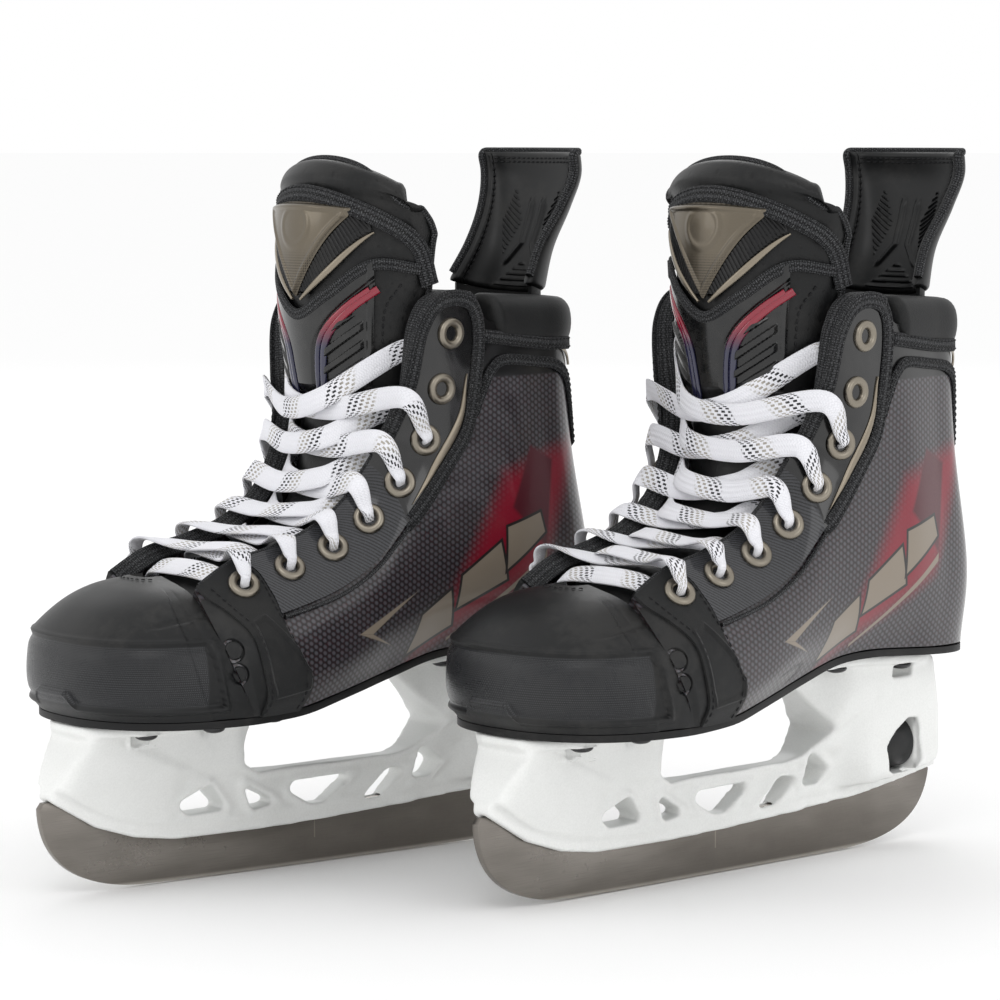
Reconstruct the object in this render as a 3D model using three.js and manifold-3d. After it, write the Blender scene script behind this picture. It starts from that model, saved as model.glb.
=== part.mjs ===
// A pair of lace-up ice hockey skates with steel runners that release from their holders.
// Millimetres, +Z up, toes point along -Y, the wearer's left is +X, the ice is at z = 0.
// One left skate is modelled in its own frame: x = 0 is the plane of the runner, y = 0 its middle,
// and +x is the outer side of the foot. The right skate is its mirror image.

import * as THREE from "three";
import { mergeVertices } from "three/addons/utils/BufferGeometryUtils.js";
import Module from "manifold-3d";

const wasm = await Module();
wasm.setup();

// ---------------------------------------------------------------- driving dimensions

// How the pair stands
const stance = 109.8; // between the two runners
const stagger = 95.2; // how far the left skate stands behind the right one
const toeOut = 2.6; // degrees that each toe turns outwards

// Clearances
const gap = 0.3; // between pieces that touch
const layerGap = 0.6; // between layers that follow the same curved surface
const slide = 0.5; // around pieces that slide or turn in another
const boreGap = 0.4; // around a shank in its hole

// Boot
const bootLength = 231; // front of the toe cap to the back of the heel
const bootWidth = 94; // over the ball of the foot
const bootHeight = 146; // forefoot sole to the top of the collar
const shellWall = 4.2;
const capWall = 3;
const outsoleThickness = 2.5;
const overlayThickness = 1.4;
const facingThickness = 1.2;
const padThickness = 8; // padding inside the collar
const footbedThickness = 3.5;
const badgeThickness = 2.2;
const guardThickness = 2.4; // moulded guard on the tongue
const tongueThickness = 7;
const tendonThickness = 5;
const tendonHeight = 52; // above the collar

// Eyelets and lace
const eyeletCount = 8; // on each side
const lacedEyelets = 6;
const eyeletFlange = 5.2; // radius
const eyeletBarrel = 3.4; // radius
const eyeletBore = 2.5; // radius
const eyeletRim = 1.6; // height over the facing
const stripThickness = 0.9; // backing that the eyelets are set in
const stripHalfWidth = 4.6;
const laceWidth = 8;
const laceThickness = 1.3;
const laceHoleWidth = 3.5; // where it is squeezed through an eyelet
const laceHoleThickness = 1.9;

// Holder and runner
const standHeight = 60; // ice to forefoot sole
const runnerLength = 230;
const runnerThickness = 3;
const runnerFlat = 60; // straight middle of the skating edge
const rockerRadius = 2700;
const flangeThickness = 3.6;
const frontFlangeHalf = 22;
const rearFlangeHalf = 20.5;
const rivetShank = 2; // radius
const rivetHead = 4; // radius
const rivetHeadHeight = 1.8;
const rivetPlateThickness = 1;
const frontRivetX = 17.5;
const rearRivetX = 16;
const frontRivetY = [-82, -54, -29];
const rearRivetY = [47, 82];

// Quick release of the runner
const hookY = -runnerLength / 2 + 3; // the runner swings down about its front corner
const releaseAngle = 3.3; // degrees
const boltTravel = 5;
const tabRear = runnerLength / 2 - 43; // rear face of the steel tab that the bolt holds
const tabLength = 12;
const tabTop = 45;
const notchDepth = 5;
const notchFloor = 30.5;
const boltX = 2.5; // the bolt and wheel lie a little to the outer side
const boltHalfWidth = 4.5;
const boltShaft = 2.6; // radius
const wheelRadius = 9.5;
const boltZ = wheelRadius + 28.5; // so that the wheel clears the steel
const wheelLength = 15.5;
const wheelRibs = 14;

// ---------------------------------------------------------------- solids

const { Manifold, Mesh: WasmMesh } = wasm;

/** A closed three.js geometry as a solid that can be cut and joined. */
function solid(geometry) {
  const bare = geometry.clone();
  bare.deleteAttribute("normal");
  bare.deleteAttribute("uv");
  const merged = mergeVertices(bare, 1e-4);
  const index = Array.from(merged.index.array);
  const triVerts = [];
  for (let i = 0; i < index.length; i += 3) {
    const [a, b, c] = index.slice(i, i + 3);
    if (a !== b && b !== c && c !== a) triVerts.push(a, b, c);
  }
  const mesh = new WasmMesh({
    numProp: 3,
    vertProperties: new Float32Array(merged.attributes.position.array),
    triVerts: new Uint32Array(triVerts),
  });
  return new Manifold(mesh);
}

/** A solid back as a three.js geometry. */
function geometryOf(body) {
  const mesh = body.getMesh();
  const geometry = new THREE.BufferGeometry();
  geometry.setAttribute("position", new THREE.BufferAttribute(mesh.vertProperties, 3));
  geometry.setIndex(new THREE.BufferAttribute(mesh.triVerts, 1));
  geometry.computeVertexNormals();
  return geometry;
}

function joined(bodies) {
  return bodies.reduce((whole, body) => whole.add(body));
}

function cutBy(body, tools) {
  return tools.reduce((rest, tool) => rest.subtract(tool), body);
}

/** The numbers from first to last in equal steps. */
function steps(first, last, count) {
  return Array.from({ length: count + 1 }, (_, i) => first + ((last - first) * i) / count);
}

/**
 * A closed wall between two grids of points. outer and inner take (u, v) and return a Vector3;
 * the side of outer where (along u) x (along v) points is outside.
 */
function wall(us, vs, outer, inner) {
  const positions = [];
  for (const surface of [outer, inner]) {
    for (const u of us) {
      for (const v of vs) positions.push(...surface(u, v).toArray());
    }
  }
  const index = [];
  const at = (layer, i, j) => (layer * us.length + i) * vs.length + j;
  const quad = (a, b, c, d) => index.push(a, b, c, a, c, d);
  const lastU = us.length - 1;
  const lastV = vs.length - 1;
  for (let i = 0; i < lastU; i += 1) {
    for (let j = 0; j < lastV; j += 1) {
      quad(at(0, i, j), at(0, i + 1, j), at(0, i + 1, j + 1), at(0, i, j + 1));
      quad(at(1, i, j), at(1, i, j + 1), at(1, i + 1, j + 1), at(1, i + 1, j));
    }
    quad(at(0, i, 0), at(1, i, 0), at(1, i + 1, 0), at(0, i + 1, 0));
    quad(at(0, i, lastV), at(0, i + 1, lastV), at(1, i + 1, lastV), at(1, i, lastV));
  }
  for (let j = 0; j < lastV; j += 1) {
    quad(at(0, 0, j), at(0, 0, j + 1), at(1, 0, j + 1), at(1, 0, j));
    quad(at(0, lastU, j), at(1, lastU, j), at(1, lastU, j + 1), at(0, lastU, j + 1));
  }
  const geometry = new THREE.BufferGeometry();
  geometry.setAttribute("position", new THREE.Float32BufferAttribute(positions, 3));
  geometry.setIndex(index);
  return solid(geometry);
}

/** A solid through a stack of closed loops with equal counts of points, flat at both ends. */
function loft(loops) {
  const count = loops[0].length;
  const positions = loops.flat().flatMap((p) => p.toArray());
  const index = [];
  for (let k = 0; k < loops.length - 1; k += 1) {
    for (let i = 0; i < count; i += 1) {
      const next = (i + 1) % count;
      const [a, b, c, d] = [k * count + i, k * count + next, (k + 1) * count + next, (k + 1) * count + i];
      index.push(a, b, c, a, c, d);
    }
  }
  const capEnd = (loop, start, up) => {
    const flat = loop.map((p) => new THREE.Vector2(p.x, p.y));
    for (const [a, b, c] of THREE.ShapeUtils.triangulateShape(flat, [])) {
      if (up) index.push(start + a, start + b, start + c);
      else index.push(start + a, start + c, start + b);
    }
  };
  capEnd(loops[0], 0, false);
  capEnd(loops[loops.length - 1], (loops.length - 1) * count, true);
  const geometry = new THREE.BufferGeometry();
  geometry.setAttribute("position", new THREE.Float32BufferAttribute(positions, 3));
  geometry.setIndex(index);
  return solid(geometry);
}

function shapeOf(points) {
  return new THREE.Shape(points.map(([a, b]) => new THREE.Vector2(a, b)));
}

/** A side outline, given in y and z, made into a plate across x. */
function sidePlate(shape, from, to) {
  const settings = { depth: to - from, bevelEnabled: false, curveSegments: 8 };
  const geometry = new THREE.ExtrudeGeometry(shape, settings);
  geometry.applyMatrix4(new THREE.Matrix4().makeBasis(
    new THREE.Vector3(0, 1, 0),
    new THREE.Vector3(0, 0, 1),
    new THREE.Vector3(1, 0, 0),
  ));
  geometry.translate(from, 0, 0);
  return solid(geometry);
}

/** A box from its two corners. */
function block(low, high) {
  const size = high.map((h, i) => h - low[i]);
  const geometry = new THREE.BoxGeometry(...size);
  geometry.translate(...low.map((l, i) => l + size[i] / 2));
  return solid(geometry);
}

/** A cylinder between two points. */
function rod(from, to, radius, sides = 16) {
  const axis = to.clone().sub(from);
  const geometry = new THREE.CylinderGeometry(radius, radius, axis.length(), sides);
  geometry.applyQuaternion(new THREE.Quaternion().setFromUnitVectors(
    new THREE.Vector3(0, 1, 0),
    axis.clone().normalize(),
  ));
  geometry.translate(...from.clone().add(to).multiplyScalar(0.5).toArray());
  return solid(geometry);
}

function vec(x, y, z) {
  return new THREE.Vector3(x, y, z);
}

/** A straight-line reading of a table of [key, value] pairs. */
function interpolate(table, key) {
  const last = table.length - 1;
  if (key <= table[0][0]) return table[0][1];
  for (let i = 0; i < last; i += 1) {
    const [a, from] = table[i];
    const [b, to] = table[i + 1];
    if (key <= b) return from + ((to - from) * (key - a)) / (b - a);
  }
  return table[last][1];
}

// ---------------------------------------------------------------- form of the boot

const formLength = 231; // the size that the stations below were drawn at
const formWidth = 94;
const formHeight = 146;
const alongScale = bootLength / formLength;
const acrossScale = bootWidth / formWidth;
const upScale = bootHeight / formHeight;

/** Height of the underside of the sole at a distance along the boot. */
function soleZ(y) {
  const rise = [
    [-75, 0], [-45, 0.3], [-30, 1.4], [-15, 4], [0, 6.8], [15, 10], [28, 13], [40, 14.7],
    [52, 15], [75, 13.8], [95, 12.6], [120, 12],
  ];
  return standHeight + interpolate(rise, y / alongScale) * upScale;
}

const seat = outsoleThickness + shellWall / 7; // the upper stands this far above the underside

// Stations up the side, from the joint with the toe cap to the start of the heel.
// Each gives its sole edge [x, y] and three points [x, y, height]: low side, high side, top line.
const stations = [
  [[44.5, -56], [47, -61, 13], [43.5, -67, 28], [27, -68, 46]],
  [[43.5, -46], [47, -49, 14], [44, -51, 33], [26.5, -53, 54]],
  [[42, -33], [46, -33, 16], [43.5, -33, 37], [26, -36, 58]],
  [[38.5, -18], [44, -17, 19], [42.5, -16, 42], [26, -19.5, 63.5]],
  [[35, -4], [42, -3, 24], [41.5, -1, 50], [27, -6, 72.5]],
  [[32, 9], [40.5, 9, 30], [41, 10, 61], [29, 3.5, 85.5]],
  [[30, 22], [39.5, 22, 36], [40.5, 21, 74], [33.5, 10.5, 100]],
  [[28.5, 34], [39, 33, 41], [40.5, 30, 86], [39, 13.5, 116]],
  [[28, 46], [38.5, 45, 44], [40, 40, 93], [42, 16, 136]],
  [[27.5, 57], [38, 56, 46], [39.5, 49, 97], [42.5, 25, 146]],
  [[27, 70], [37, 69, 47], [38.5, 62, 96], [41, 46, 146]],
  [[26.5, 88], [33.5, 86, 46], [34.5, 79, 94], [35.5, 74, 144.5]],
];
const heelBack = [[0, 120.5], [0, 117, 45], [0, 106.5, 93], [0, 103, 143]];
const heelRoundness = 2.2;
const heelAngles = [30, 60];

const heelStation = stations.length + heelAngles.length; // the middle of the heel
const lastStation = 2 * heelStation; // the toe cap joint on the other side

function placed([x, y, height]) {
  const point = vec(x * acrossScale, y * alongScale, 0);
  point.z = height === undefined ? soleZ(point.y) + seat : standHeight + height * upScale;
  return point;
}

/** One level of the form, all the way round from joint to joint. */
function levelCurve(level) {
  const side = stations.map((station) => placed(station[level]));
  const start = side[side.length - 1];
  const back = placed(heelBack[level]);
  for (const degrees of heelAngles) {
    const angle = THREE.MathUtils.degToRad(degrees);
    const forward = Math.sin(angle) ** (2 / heelRoundness);
    side.push(vec(
      start.x * Math.cos(angle) ** (2 / heelRoundness),
      start.y + (back.y - start.y) * forward,
      start.z + (back.z - start.z) * forward,
    ));
  }
  const other = side.map((p) => vec(-p.x, p.y, p.z)).reverse();
  return new THREE.CatmullRomCurve3([...side, back, ...other], false, "catmullrom", 0.5);
}

const levels = [0, 1, 2, 3].map(levelCurve);

/** Point on the form: s counts stations round the boot, v runs from sole (0) to top line (1). */
function onForm(s, v) {
  const column = levels.map((level) => level.getPoint(THREE.MathUtils.clamp(s / lastStation, 0, 1)));
  return new THREE.CatmullRomCurve3(column, false, "catmullrom", 0.5).getPoint(v);
}

/** Outward direction on the form. */
function formNormal(s, v) {
  const step = 0.02;
  const along = onForm(Math.min(s + step, lastStation), v).sub(onForm(Math.max(s - step, 0), v));
  const up = onForm(s, Math.min(v + step, 1)).sub(onForm(s, Math.max(v - step, 0)));
  return along.cross(up).normalize();
}

/** Point at a distance outside the form; negative is inside. */
function skin(s, v, offset) {
  return onForm(s, v).addScaledVector(formNormal(s, v), offset);
}

// ---------------------------------------------------------------- where things are on the form

const overlayEnd = 1.72; // the overlay behind the toe cap ends at this station
const facingStart = overlayEnd + 0.05;
const facingEnd = 9.6;
const collarStart = 9.8; // the padded collar takes over from the shell here
const shellTopAtCollar = 0.93;
const eyeletLevels = [0.88, 0.88, 0.87, 0.85, 0.82, 0.81, 0.84, 0.91];
const eyelets = Array.from({ length: eyeletCount }, (_, k) => ({
  s: 1 + 1.12 * k,
  v: eyeletLevels[k],
}));
const facingLowLine = [[1.7, 0.72], [4, 0.72], [5.5, 0.68], [7, 0.66], [8.4, 0.72], [9.3, 0.82], [9.6, 0.86]];

/** The whole stations between two places, with the places themselves. */
function columnsBetween(from, to) {
  const [first, last] = [Math.ceil(from + 0.1), Math.floor(to - 0.1)];
  const inner = steps(first, last, last - first);
  return [from, ...inner, to];
}

/** The shell's own top line, lower where the collar stands on it. */
function shellTop(s) {
  return s > collarStart && s < lastStation - collarStart ? shellTopAtCollar : 1;
}

function eyeletPoint(k, offset) {
  return skin(eyelets[k].s, eyelets[k].v, offset);
}

/** Six-sided holes for the eyelets' barrels, on the outer side of the foot. */
function eyeletHoles() {
  const sides = 6;
  const radius = (eyeletBarrel + boreGap) / Math.cos(Math.PI / sides);
  return eyelets.map((eyelet, k) => rod(eyeletPoint(k, -shellWall - 3), eyeletPoint(k, 4), radius, sides));
}

function mirrored(body) {
  return body.mirror([1, 0, 0]);
}

// ---------------------------------------------------------------- boot pieces

/** The quarters and heel cup in one shell, open at the throat, the top and the sole. */
function bootShell() {
  const columns = [
    ...steps(0, 9, 9), collarStart - 0.05, collarStart + 0.05, ...columnsBetween(10.9, heelStation),
  ];
  const surface = (offset) => (s, v) => skin(s, v * shellTop(s), offset);
  const side = wall(columns, [0, 0.15, 0.4, 0.7, 0.85, 1], surface(0), surface(-shellWall));
  const outer = cutBy(side, eyeletHoles());
  return outer.add(mirrored(outer));
}

/** The textile and rubber overlay that binds the quarter to the toe cap, with the first eyelet. */
function forefootOverlay() {
  const surface = (offset) => (s, v) => skin(s, v, offset);
  const body = wall(
    [0, 1, overlayEnd],
    [0, 0.15, 0.4, 0.7, 0.85, 1],
    surface(layerGap + overlayThickness),
    surface(layerGap),
  );
  return cutBy(body, eyeletHoles());
}

/** The lacing panel along the throat, from the second eyelet to the top corner. */
function facing() {
  const low = (s) => interpolate(facingLowLine, s);
  const surface = (offset) => (s, v) => skin(s, low(s) + (1 - low(s)) * v, offset);
  const columns = columnsBetween(facingStart, facingEnd);
  const body = wall(columns, [0, 0.5, 1], surface(layerGap + facingThickness), surface(layerGap));
  return cutBy(body, eyeletHoles());
}

/** A blank of an eyelet in its own frame, standing along z: a barrel under a flange. */
function eyeletBlank(low, underFlange, top, sides) {
  const profile = [
    [0, low], [eyeletBarrel, low], [eyeletBarrel, underFlange],
    [eyeletFlange, underFlange], [eyeletFlange, top], [0, top],
  ].map(([r, z]) => new THREE.Vector2(r, z));
  return new THREE.LatheGeometry(profile, sides);
}

/** A turned shape, drawn round y, set at an eyelet with y outwards. */
function atEyelet(k, geometry) {
  const outward = eyeletPoint(k, 1).sub(eyeletPoint(k, 0)).normalize();
  geometry.applyQuaternion(new THREE.Quaternion().setFromUnitVectors(vec(0, 1, 0), outward));
  geometry.translate(...eyeletPoint(k, 0).toArray());
  return solid(geometry);
}

/** A row of eyelets set in the strip that backs them inside the shell. */
function eyeletStrip() {
  const sides = 6;
  const track = eyelets.map(({ s, v }) => [s, v]);
  const pitch = eyelets[1].s - eyelets[0].s;
  const columns = columnsBetween(eyelets[0].s - pitch / 2, eyelets[eyeletCount - 1].s + pitch / 3);
  const span = stripHalfWidth / 80; // the strip's half width as a share of the side's height
  const inside = -shellWall - layerGap;
  const back = (offset) => (s, v) => skin(s, interpolate(track, s) + v * span, offset);
  const strip = wall(columns, [-1, 1], back(inside), back(inside - stripThickness));
  const low = inside - stripThickness - gap;
  const face = layerGap + Math.max(overlayThickness, facingThickness);
  const top = face + eyeletRim;
  const blanks = eyelets.map((_, k) => atEyelet(k, eyeletBlank(low, face + layerGap + 0.2, top, sides)));
  const bores = eyelets.map((_, k) => {
    const bore = new THREE.CylinderGeometry(eyeletBore, eyeletBore, top - low + 4, sides);
    bore.translate(0, (top + low) / 2, 0);
    return atEyelet(k, bore);
  });
  return cutBy(joined([strip, ...blanks]), bores);
}

// Levels of the toe cap: height, half width and y at its rear edge, y of its front.
const capLevels = [
  [2.8, 44.5, -56.8, -104.5], [10, 46.6, -60.8, -109.8], [21, 45.8, -65.4, -110],
  [29, 43, -68.6, -107.5], [39, 32, -70.8, -98], [45, 22, -71.4, -87], [49, 6, -71.8, -75],
];
const capRoundness = 2.4;

/** One level of the toe cap as a closed loop, made smaller by inset and longer at the back by tail. */
function capLoop([height, half, rear, front], inset, tail) {
  const loop = [];
  const count = 10;
  for (let i = 0; i <= count; i += 1) {
    const angle = (Math.PI * i) / count;
    const c = Math.cos(angle);
    const x = Math.sign(c) * Math.abs(c) ** (2 / capRoundness) * (half * acrossScale - inset);
    const reach = Math.sin(angle) ** (2 / capRoundness);
    const y = rear * alongScale - (rear * alongScale - front * alongScale - inset) * reach;
    loop.push(vec(x, y, standHeight + height * upScale - inset));
  }
  if (tail > 0) {
    const behind = ({ x, y, z }) => vec(x, y + tail, z);
    loop.push(behind(loop[count]), behind(loop[0]));
  }
  return loop.reverse();
}

function toeCap() {
  const outside = loft(capLevels.map((level) => capLoop(level, 0, 0)));
  const inside = loft(capLevels.slice(0, -1).map((level) => capLoop(level, capWall, 8)));
  const opening = (drop) => capLoop(capLevels[0], capWall, 8).map((p) => vec(p.x, p.y, p.z + drop));
  const under = loft([-12, 0].map(opening));
  return cutBy(outside, [inside, under]);
}

/** The edge of the sole as [half width, y], from the toe round to the heel. */
function soleEdge() {
  const toe = capLoop(capLevels[0], 0, 0).filter((p) => p.x >= -1e-6);
  const edge = toe.sort((a, b) => a.y - b.y).map((p) => [Math.max(p.x, 0), p.y]);
  const side = steps(0.9, heelStation, 12).map((s) => onForm(s, 0));
  return [...edge, ...side.map((p) => [Math.max(p.x, 0), p.y])];
}

/** A plate that follows the sole, with its underside and top at these heights over soleZ. */
function solePlate(edge, under, top) {
  const surface = (height) => (side, row) => {
    const [half, y] = edge[row];
    return vec(half * side, y, soleZ(y) + height);
  };
  return wall([-1, 0, 1], edge.map((_, row) => row), surface(top), surface(under));
}

function rivetPlaces(rows, x) {
  return rows.flatMap((y) => [[x, y], [-x, y]]);
}

const frontRivets = rivetPlaces(frontRivetY, frontRivetX);
const rearRivets = rivetPlaces(rearRivetY, rearRivetX);

/** Holes for the rivets' shanks, through everything between their heads. */
function shankHoles(places) {
  return places.map(([x, y]) => (
    rod(vec(x, y, soleZ(y) - 14), vec(x, y, soleZ(y) + 2 * outsoleThickness), rivetShank + 2 * boreGap, 6)
  ));
}

function outsole() {
  return cutBy(solePlate(soleEdge(), 0, outsoleThickness), shankHoles([...frontRivets, ...rearRivets]));
}

/** Rivets under the flange, held by the plate that lies inside the boot. */
function rivetSet(places, rows, plateHalf) {
  const margin = 6;
  const ys = steps(rows[0] - margin, rows[rows.length - 1] + margin, 5);
  const low = seat;
  const plate = solePlate(ys.map((y) => [plateHalf, y]), low, low + rivetPlateThickness);
  const bodies = places.map(([x, y]) => {
    const headTop = soleZ(y) - gap - flangeThickness - gap;
    const head = rod(vec(x, y, headTop - rivetHeadHeight), vec(x, y, headTop), rivetHead, 8);
    const shankTop = soleZ(y) + low + rivetPlateThickness / 2;
    return head.add(rod(vec(x, y, headTop - 1), vec(x, y, shankTop), rivetShank, 6));
  });
  return joined([plate, ...bodies]);
}

/** The removable footbed, inside the walls and over the rivet plates. */
function footbed() {
  const inset = shellWall + 2.6;
  const heel = placed(heelBack[0]).y - inset - gap;
  const edge = soleEdge().map(([half, y]) => [half - inset, y]).filter(([half, y]) => half > 3 && y < heel);
  const low = seat + rivetPlateThickness + gap;
  return solePlate(edge, low, low + footbedThickness);
}

/** The padded collar: a band inside the shell that widens over its top line. */
function collarPad() {
  const inside = -shellWall - layerGap;
  const rows = [[0.76, inside], [0.85, inside], [0.937, inside], [0.942, 0], [0.97, 0], [1, -2]];
  const columns = columnsBetween(collarStart + 0.25, lastStation - collarStart - 0.25);
  const outer = (s, j) => skin(s, rows[j][0], rows[j][1]);
  const inner = (s, j) => skin(s, rows[j][0], inside - padThickness);
  return wall(columns, rows.map((_, j) => j), outer, inner);
}

// Edge and middle of the tendon guard going up: share of its height, half width, y of edge, y of middle.
const tendonForm = [
  [0, 25, 80, 98.5], [0.3, 22.5, 88, 103], [0.6, 25, 96, 108.5], [0.85, 28, 99.5, 111], [1, 28.5, 98.5, 110],
];

/** The flexible guard behind the Achilles tendon, standing on the collar. */
function tendonGuard() {
  const foot = placed(heelBack[3]).z + gap + 0.4;
  const raise = 4; // the sides start higher, so that the guard can tip forwards
  const surface = (offset) => (side, row) => {
    const [share, half, edgeY, middleY] = tendonForm[row];
    const angle = (side * Math.PI) / 2;
    const bow = middleY - edgeY;
    const start = foot + raise * side * side;
    return vec(
      (half + offset * Math.abs(Math.sin(angle))) * Math.sin(angle) * acrossScale,
      (edgeY + bow * Math.cos(angle)) * alongScale + offset * Math.cos(angle),
      start + (tendonHeight - raise * side * side) * share,
    );
  };
  const rows = tendonForm.map((_, row) => row);
  return wall(steps(1, -1, 8), rows, surface(0), surface(-tendonThickness));
}

// Middle line of the tongue going up: y, height, half width, how far its sides lie behind the middle.
const tonguePath = [
  [-63, 41, 22, 5], [-50, 50, 22, 5.5], [-35, 55, 21.5, 6], [-18, 60.5, 21.5, 7], [-5, 69.5, 22, 9],
  [1, 84, 24, 13], [2, 100, 28, 20], [-1, 120, 33, 27], [-4, 145, 36.5, 30], [-4, 170, 39, 31],
  [0, 186, 36, 27], [7, 194, 26, 16],
];
const tongueMiddle = new THREE.CatmullRomCurve3(
  tonguePath.map(([y, height]) => vec(0, y * alongScale, standHeight + height * upScale)),
  false,
  "catmullrom",
  0.5,
);
const tongueLast = tonguePath.length - 1;
const tongueSplit = 6.7; // the tongue bends here, just above the top crossing of the lace

/** Point on the tongue: t counts rows up its middle line, side runs from -1 to 1. */
function onTongue(t, side, offset) {
  const share = THREE.MathUtils.clamp(t / tongueLast, 0, 1);
  const middle = tongueMiddle.getPoint(share);
  const up = tongueMiddle.getTangent(share);
  const forward = vec(1, 0, 0).cross(up).negate().normalize();
  const half = interpolate(tonguePath.map((row, i) => [i, row[2]]), t) * acrossScale;
  const drop = interpolate(tonguePath.map((row, i) => [i, row[3]]), t) * alongScale;
  const bend = (side * Math.PI) / 2.6;
  const fall = (1 - Math.cos(bend)) / (1 - Math.cos(Math.PI / 2.6));
  const width = Math.sin(bend) / Math.sin(Math.PI / 2.6);
  const slope = Math.atan2(drop * Math.sin(bend), half * Math.cos(bend));
  const outward = forward.clone().multiplyScalar(-Math.cos(slope)).add(vec(Math.sin(slope), 0, 0));
  return middle
    .add(vec(half * width, 0, 0))
    .addScaledVector(forward, drop * fall)
    .addScaledVector(outward, offset);
}

/** Part of the tongue between two rows, with its top and bottom edges following a curve. */
function tonguePiece(from, to, rows, reach, outside, inside) {
  const surface = (offset) => (side, t) => onTongue(t, side * reach, offset);
  return wall(steps(-1, 1, 8), steps(from, to, rows), surface(outside), surface(inside));
}

function tongueLower() {
  return tonguePiece(0, tongueSplit - 0.06, 8, 1, 0, -tongueThickness);
}

function tongueUpper() {
  return tonguePiece(tongueSplit + 0.08, tongueLast, 7, 1, 0, -tongueThickness);
}

/** The shield on the tongue: wide at the top and pointed below. */
function tongueBadge() {
  const halfAt = [[8.15, 0.08], [9.45, 0.66], [9.75, 0.66]];
  const surface = (offset) => (side, t) => onTongue(t, side * interpolate(halfAt, t), offset);
  const low = 2 * gap + layerGap;
  return wall(steps(-1, 1, 6), steps(8.15, 9.75, 5), surface(low + badgeThickness), surface(low));
}

/** The moulded guard below the shield, which spreads the pressure of the lace. */
function tongueGuard() {
  const halfAt = [[7.05, 0.5], [7.6, 0.55], [8, 0.62]];
  const surface = (offset) => (side, t) => onTongue(t, side * interpolate(halfAt, t), offset);
  return wall(steps(-1, 1, 6), steps(7.05, 8.05, 4), surface(layerGap + guardThickness), surface(layerGap));
}

// ---------------------------------------------------------------- lace

/** A flat cord through hand-set places, each with its outward direction, width and thickness. */
function cord(places) {
  const sides = 8;
  const loops = places.map(({ point, out, width, thickness }, i) => {
    const before = places[Math.max(i - 1, 0)].point;
    const after = places[Math.min(i + 1, places.length - 1)].point;
    const forward = after.clone().sub(before).normalize();
    const across = forward.clone().cross(out).normalize();
    const lift = across.clone().cross(forward).normalize();
    return Array.from({ length: sides }, (_, k) => {
      const angle = (2 * Math.PI * (k + 0.5)) / sides;
      return point.clone()
        .addScaledVector(across, (width / 2) * Math.cos(angle) / Math.cos(Math.PI / sides))
        .addScaledVector(lift, (thickness / 2) * Math.sin(angle) / Math.sin((3 * Math.PI) / sides));
    });
  });
  const positions = loops.flat().flatMap((p) => p.toArray());
  const index = [];
  for (let i = 0; i < loops.length - 1; i += 1) {
    for (let k = 0; k < sides; k += 1) {
      const next = (k + 1) % sides;
      const [a, b, c, d] = [i * sides + k, i * sides + next, (i + 1) * sides + next, (i + 1) * sides + k];
      index.push(a, c, b, a, d, c);
    }
  }
  const last = (loops.length - 1) * sides;
  for (let k = 1; k < sides - 1; k += 1) {
    index.push(0, k, k + 1, last, last + k + 1, last + k);
  }
  const geometry = new THREE.BufferGeometry();
  geometry.setAttribute("position", new THREE.Float32BufferAttribute(positions, 3));
  geometry.setIndex(index);
  return solid(geometry);
}

const wide = { width: laceWidth, thickness: laceThickness };
const folding = { width: 5, thickness: 1.8 };
const narrow = { width: laceHoleWidth, thickness: laceHoleThickness };
const laceOutside = layerGap + overlayThickness + eyeletRim + laceThickness + gap;
const laceInside = -shellWall - stripThickness - 2 * layerGap - 1.4;
const topCrossing = 6; // row of the tongue under the last crossing

function flip(point, side) {
  return vec(point.x * side, point.y, point.z);
}

/** A place on the lace beside the form, on the outer (1) or inner (-1) side; face is where it looks. */
function beside(side, s, v, offset, size, face) {
  return {
    point: flip(skin(s, v, offset), side),
    out: flip(formNormal(s, v), side).multiplyScalar(face),
    ...size,
  };
}

/** A place on the lace at either end of an eyelet's bore, where it runs along the eyelet's axis. */
function inBore(side, k, offset, face) {
  const { s, v } = eyelets[k];
  const up = onForm(s, v + 0.05).sub(onForm(s, v - 0.05)).normalize();
  return { point: flip(eyeletPoint(k, offset), side), out: flip(up, side).multiplyScalar(face), ...narrow };
}

/** A place on the lace above the tongue. */
function overTongue(t, x, height, face) {
  const point = onTongue(t, 0, height);
  const out = onTongue(t, 0, 1).sub(onTongue(t, 0, 0)).multiplyScalar(face);
  return { point: vec(x, point.y, point.z), out, ...wide };
}

/** One stretch: out through eyelet k, over the throat, and under the far edge to eyelet k + 1. */
function crossing(k, side, height, face) {
  const here = eyelets[k];
  const next = eyelets[k + 1];
  const row = Math.min(k + 1.2, topCrossing);
  return [
    inBore(side, k, laceInside, face),
    inBore(side, k, laceOutside - laceThickness, face),
    beside(side, here.s + 0.06, here.v + 0.04, laceOutside, folding, -face),
    beside(side, here.s + 0.12, 1, laceOutside + 0.6, wide, -face),
    overTongue(row + 0.12, 12 * side, height, -face),
    overTongue(row + 0.3, -12 * side, height, -face),
    beside(-side, next.s - 0.2, 0.985, -shellWall - 3, wide, -face),
  ];
}

/** The strand that starts inside the first eyelet of one side, up to its tucked end. */
function strand(startSide, heights) {
  const places = [];
  for (let k = 0; k < lacedEyelets; k += 1) {
    const turn = k % 2 === 0 ? 1 : -1;
    places.push(...crossing(k, startSide * turn, heights[k], turn));
  }
  return places;
}

function lace() {
  const under = 2;
  const over = under + laceThickness + 1;
  const first = [over, under, over, under, over, under];
  const second = first.map((height) => under + over - height);
  const toeRow = 0.75;
  const toe = [overTongue(toeRow, 17, under, 1), overTongue(toeRow, -17, under, 1)];
  return cord([...strand(1, first).reverse(), ...toe, ...strand(-1, second)]);
}

// ---------------------------------------------------------------- holder, runner and quick release

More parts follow.
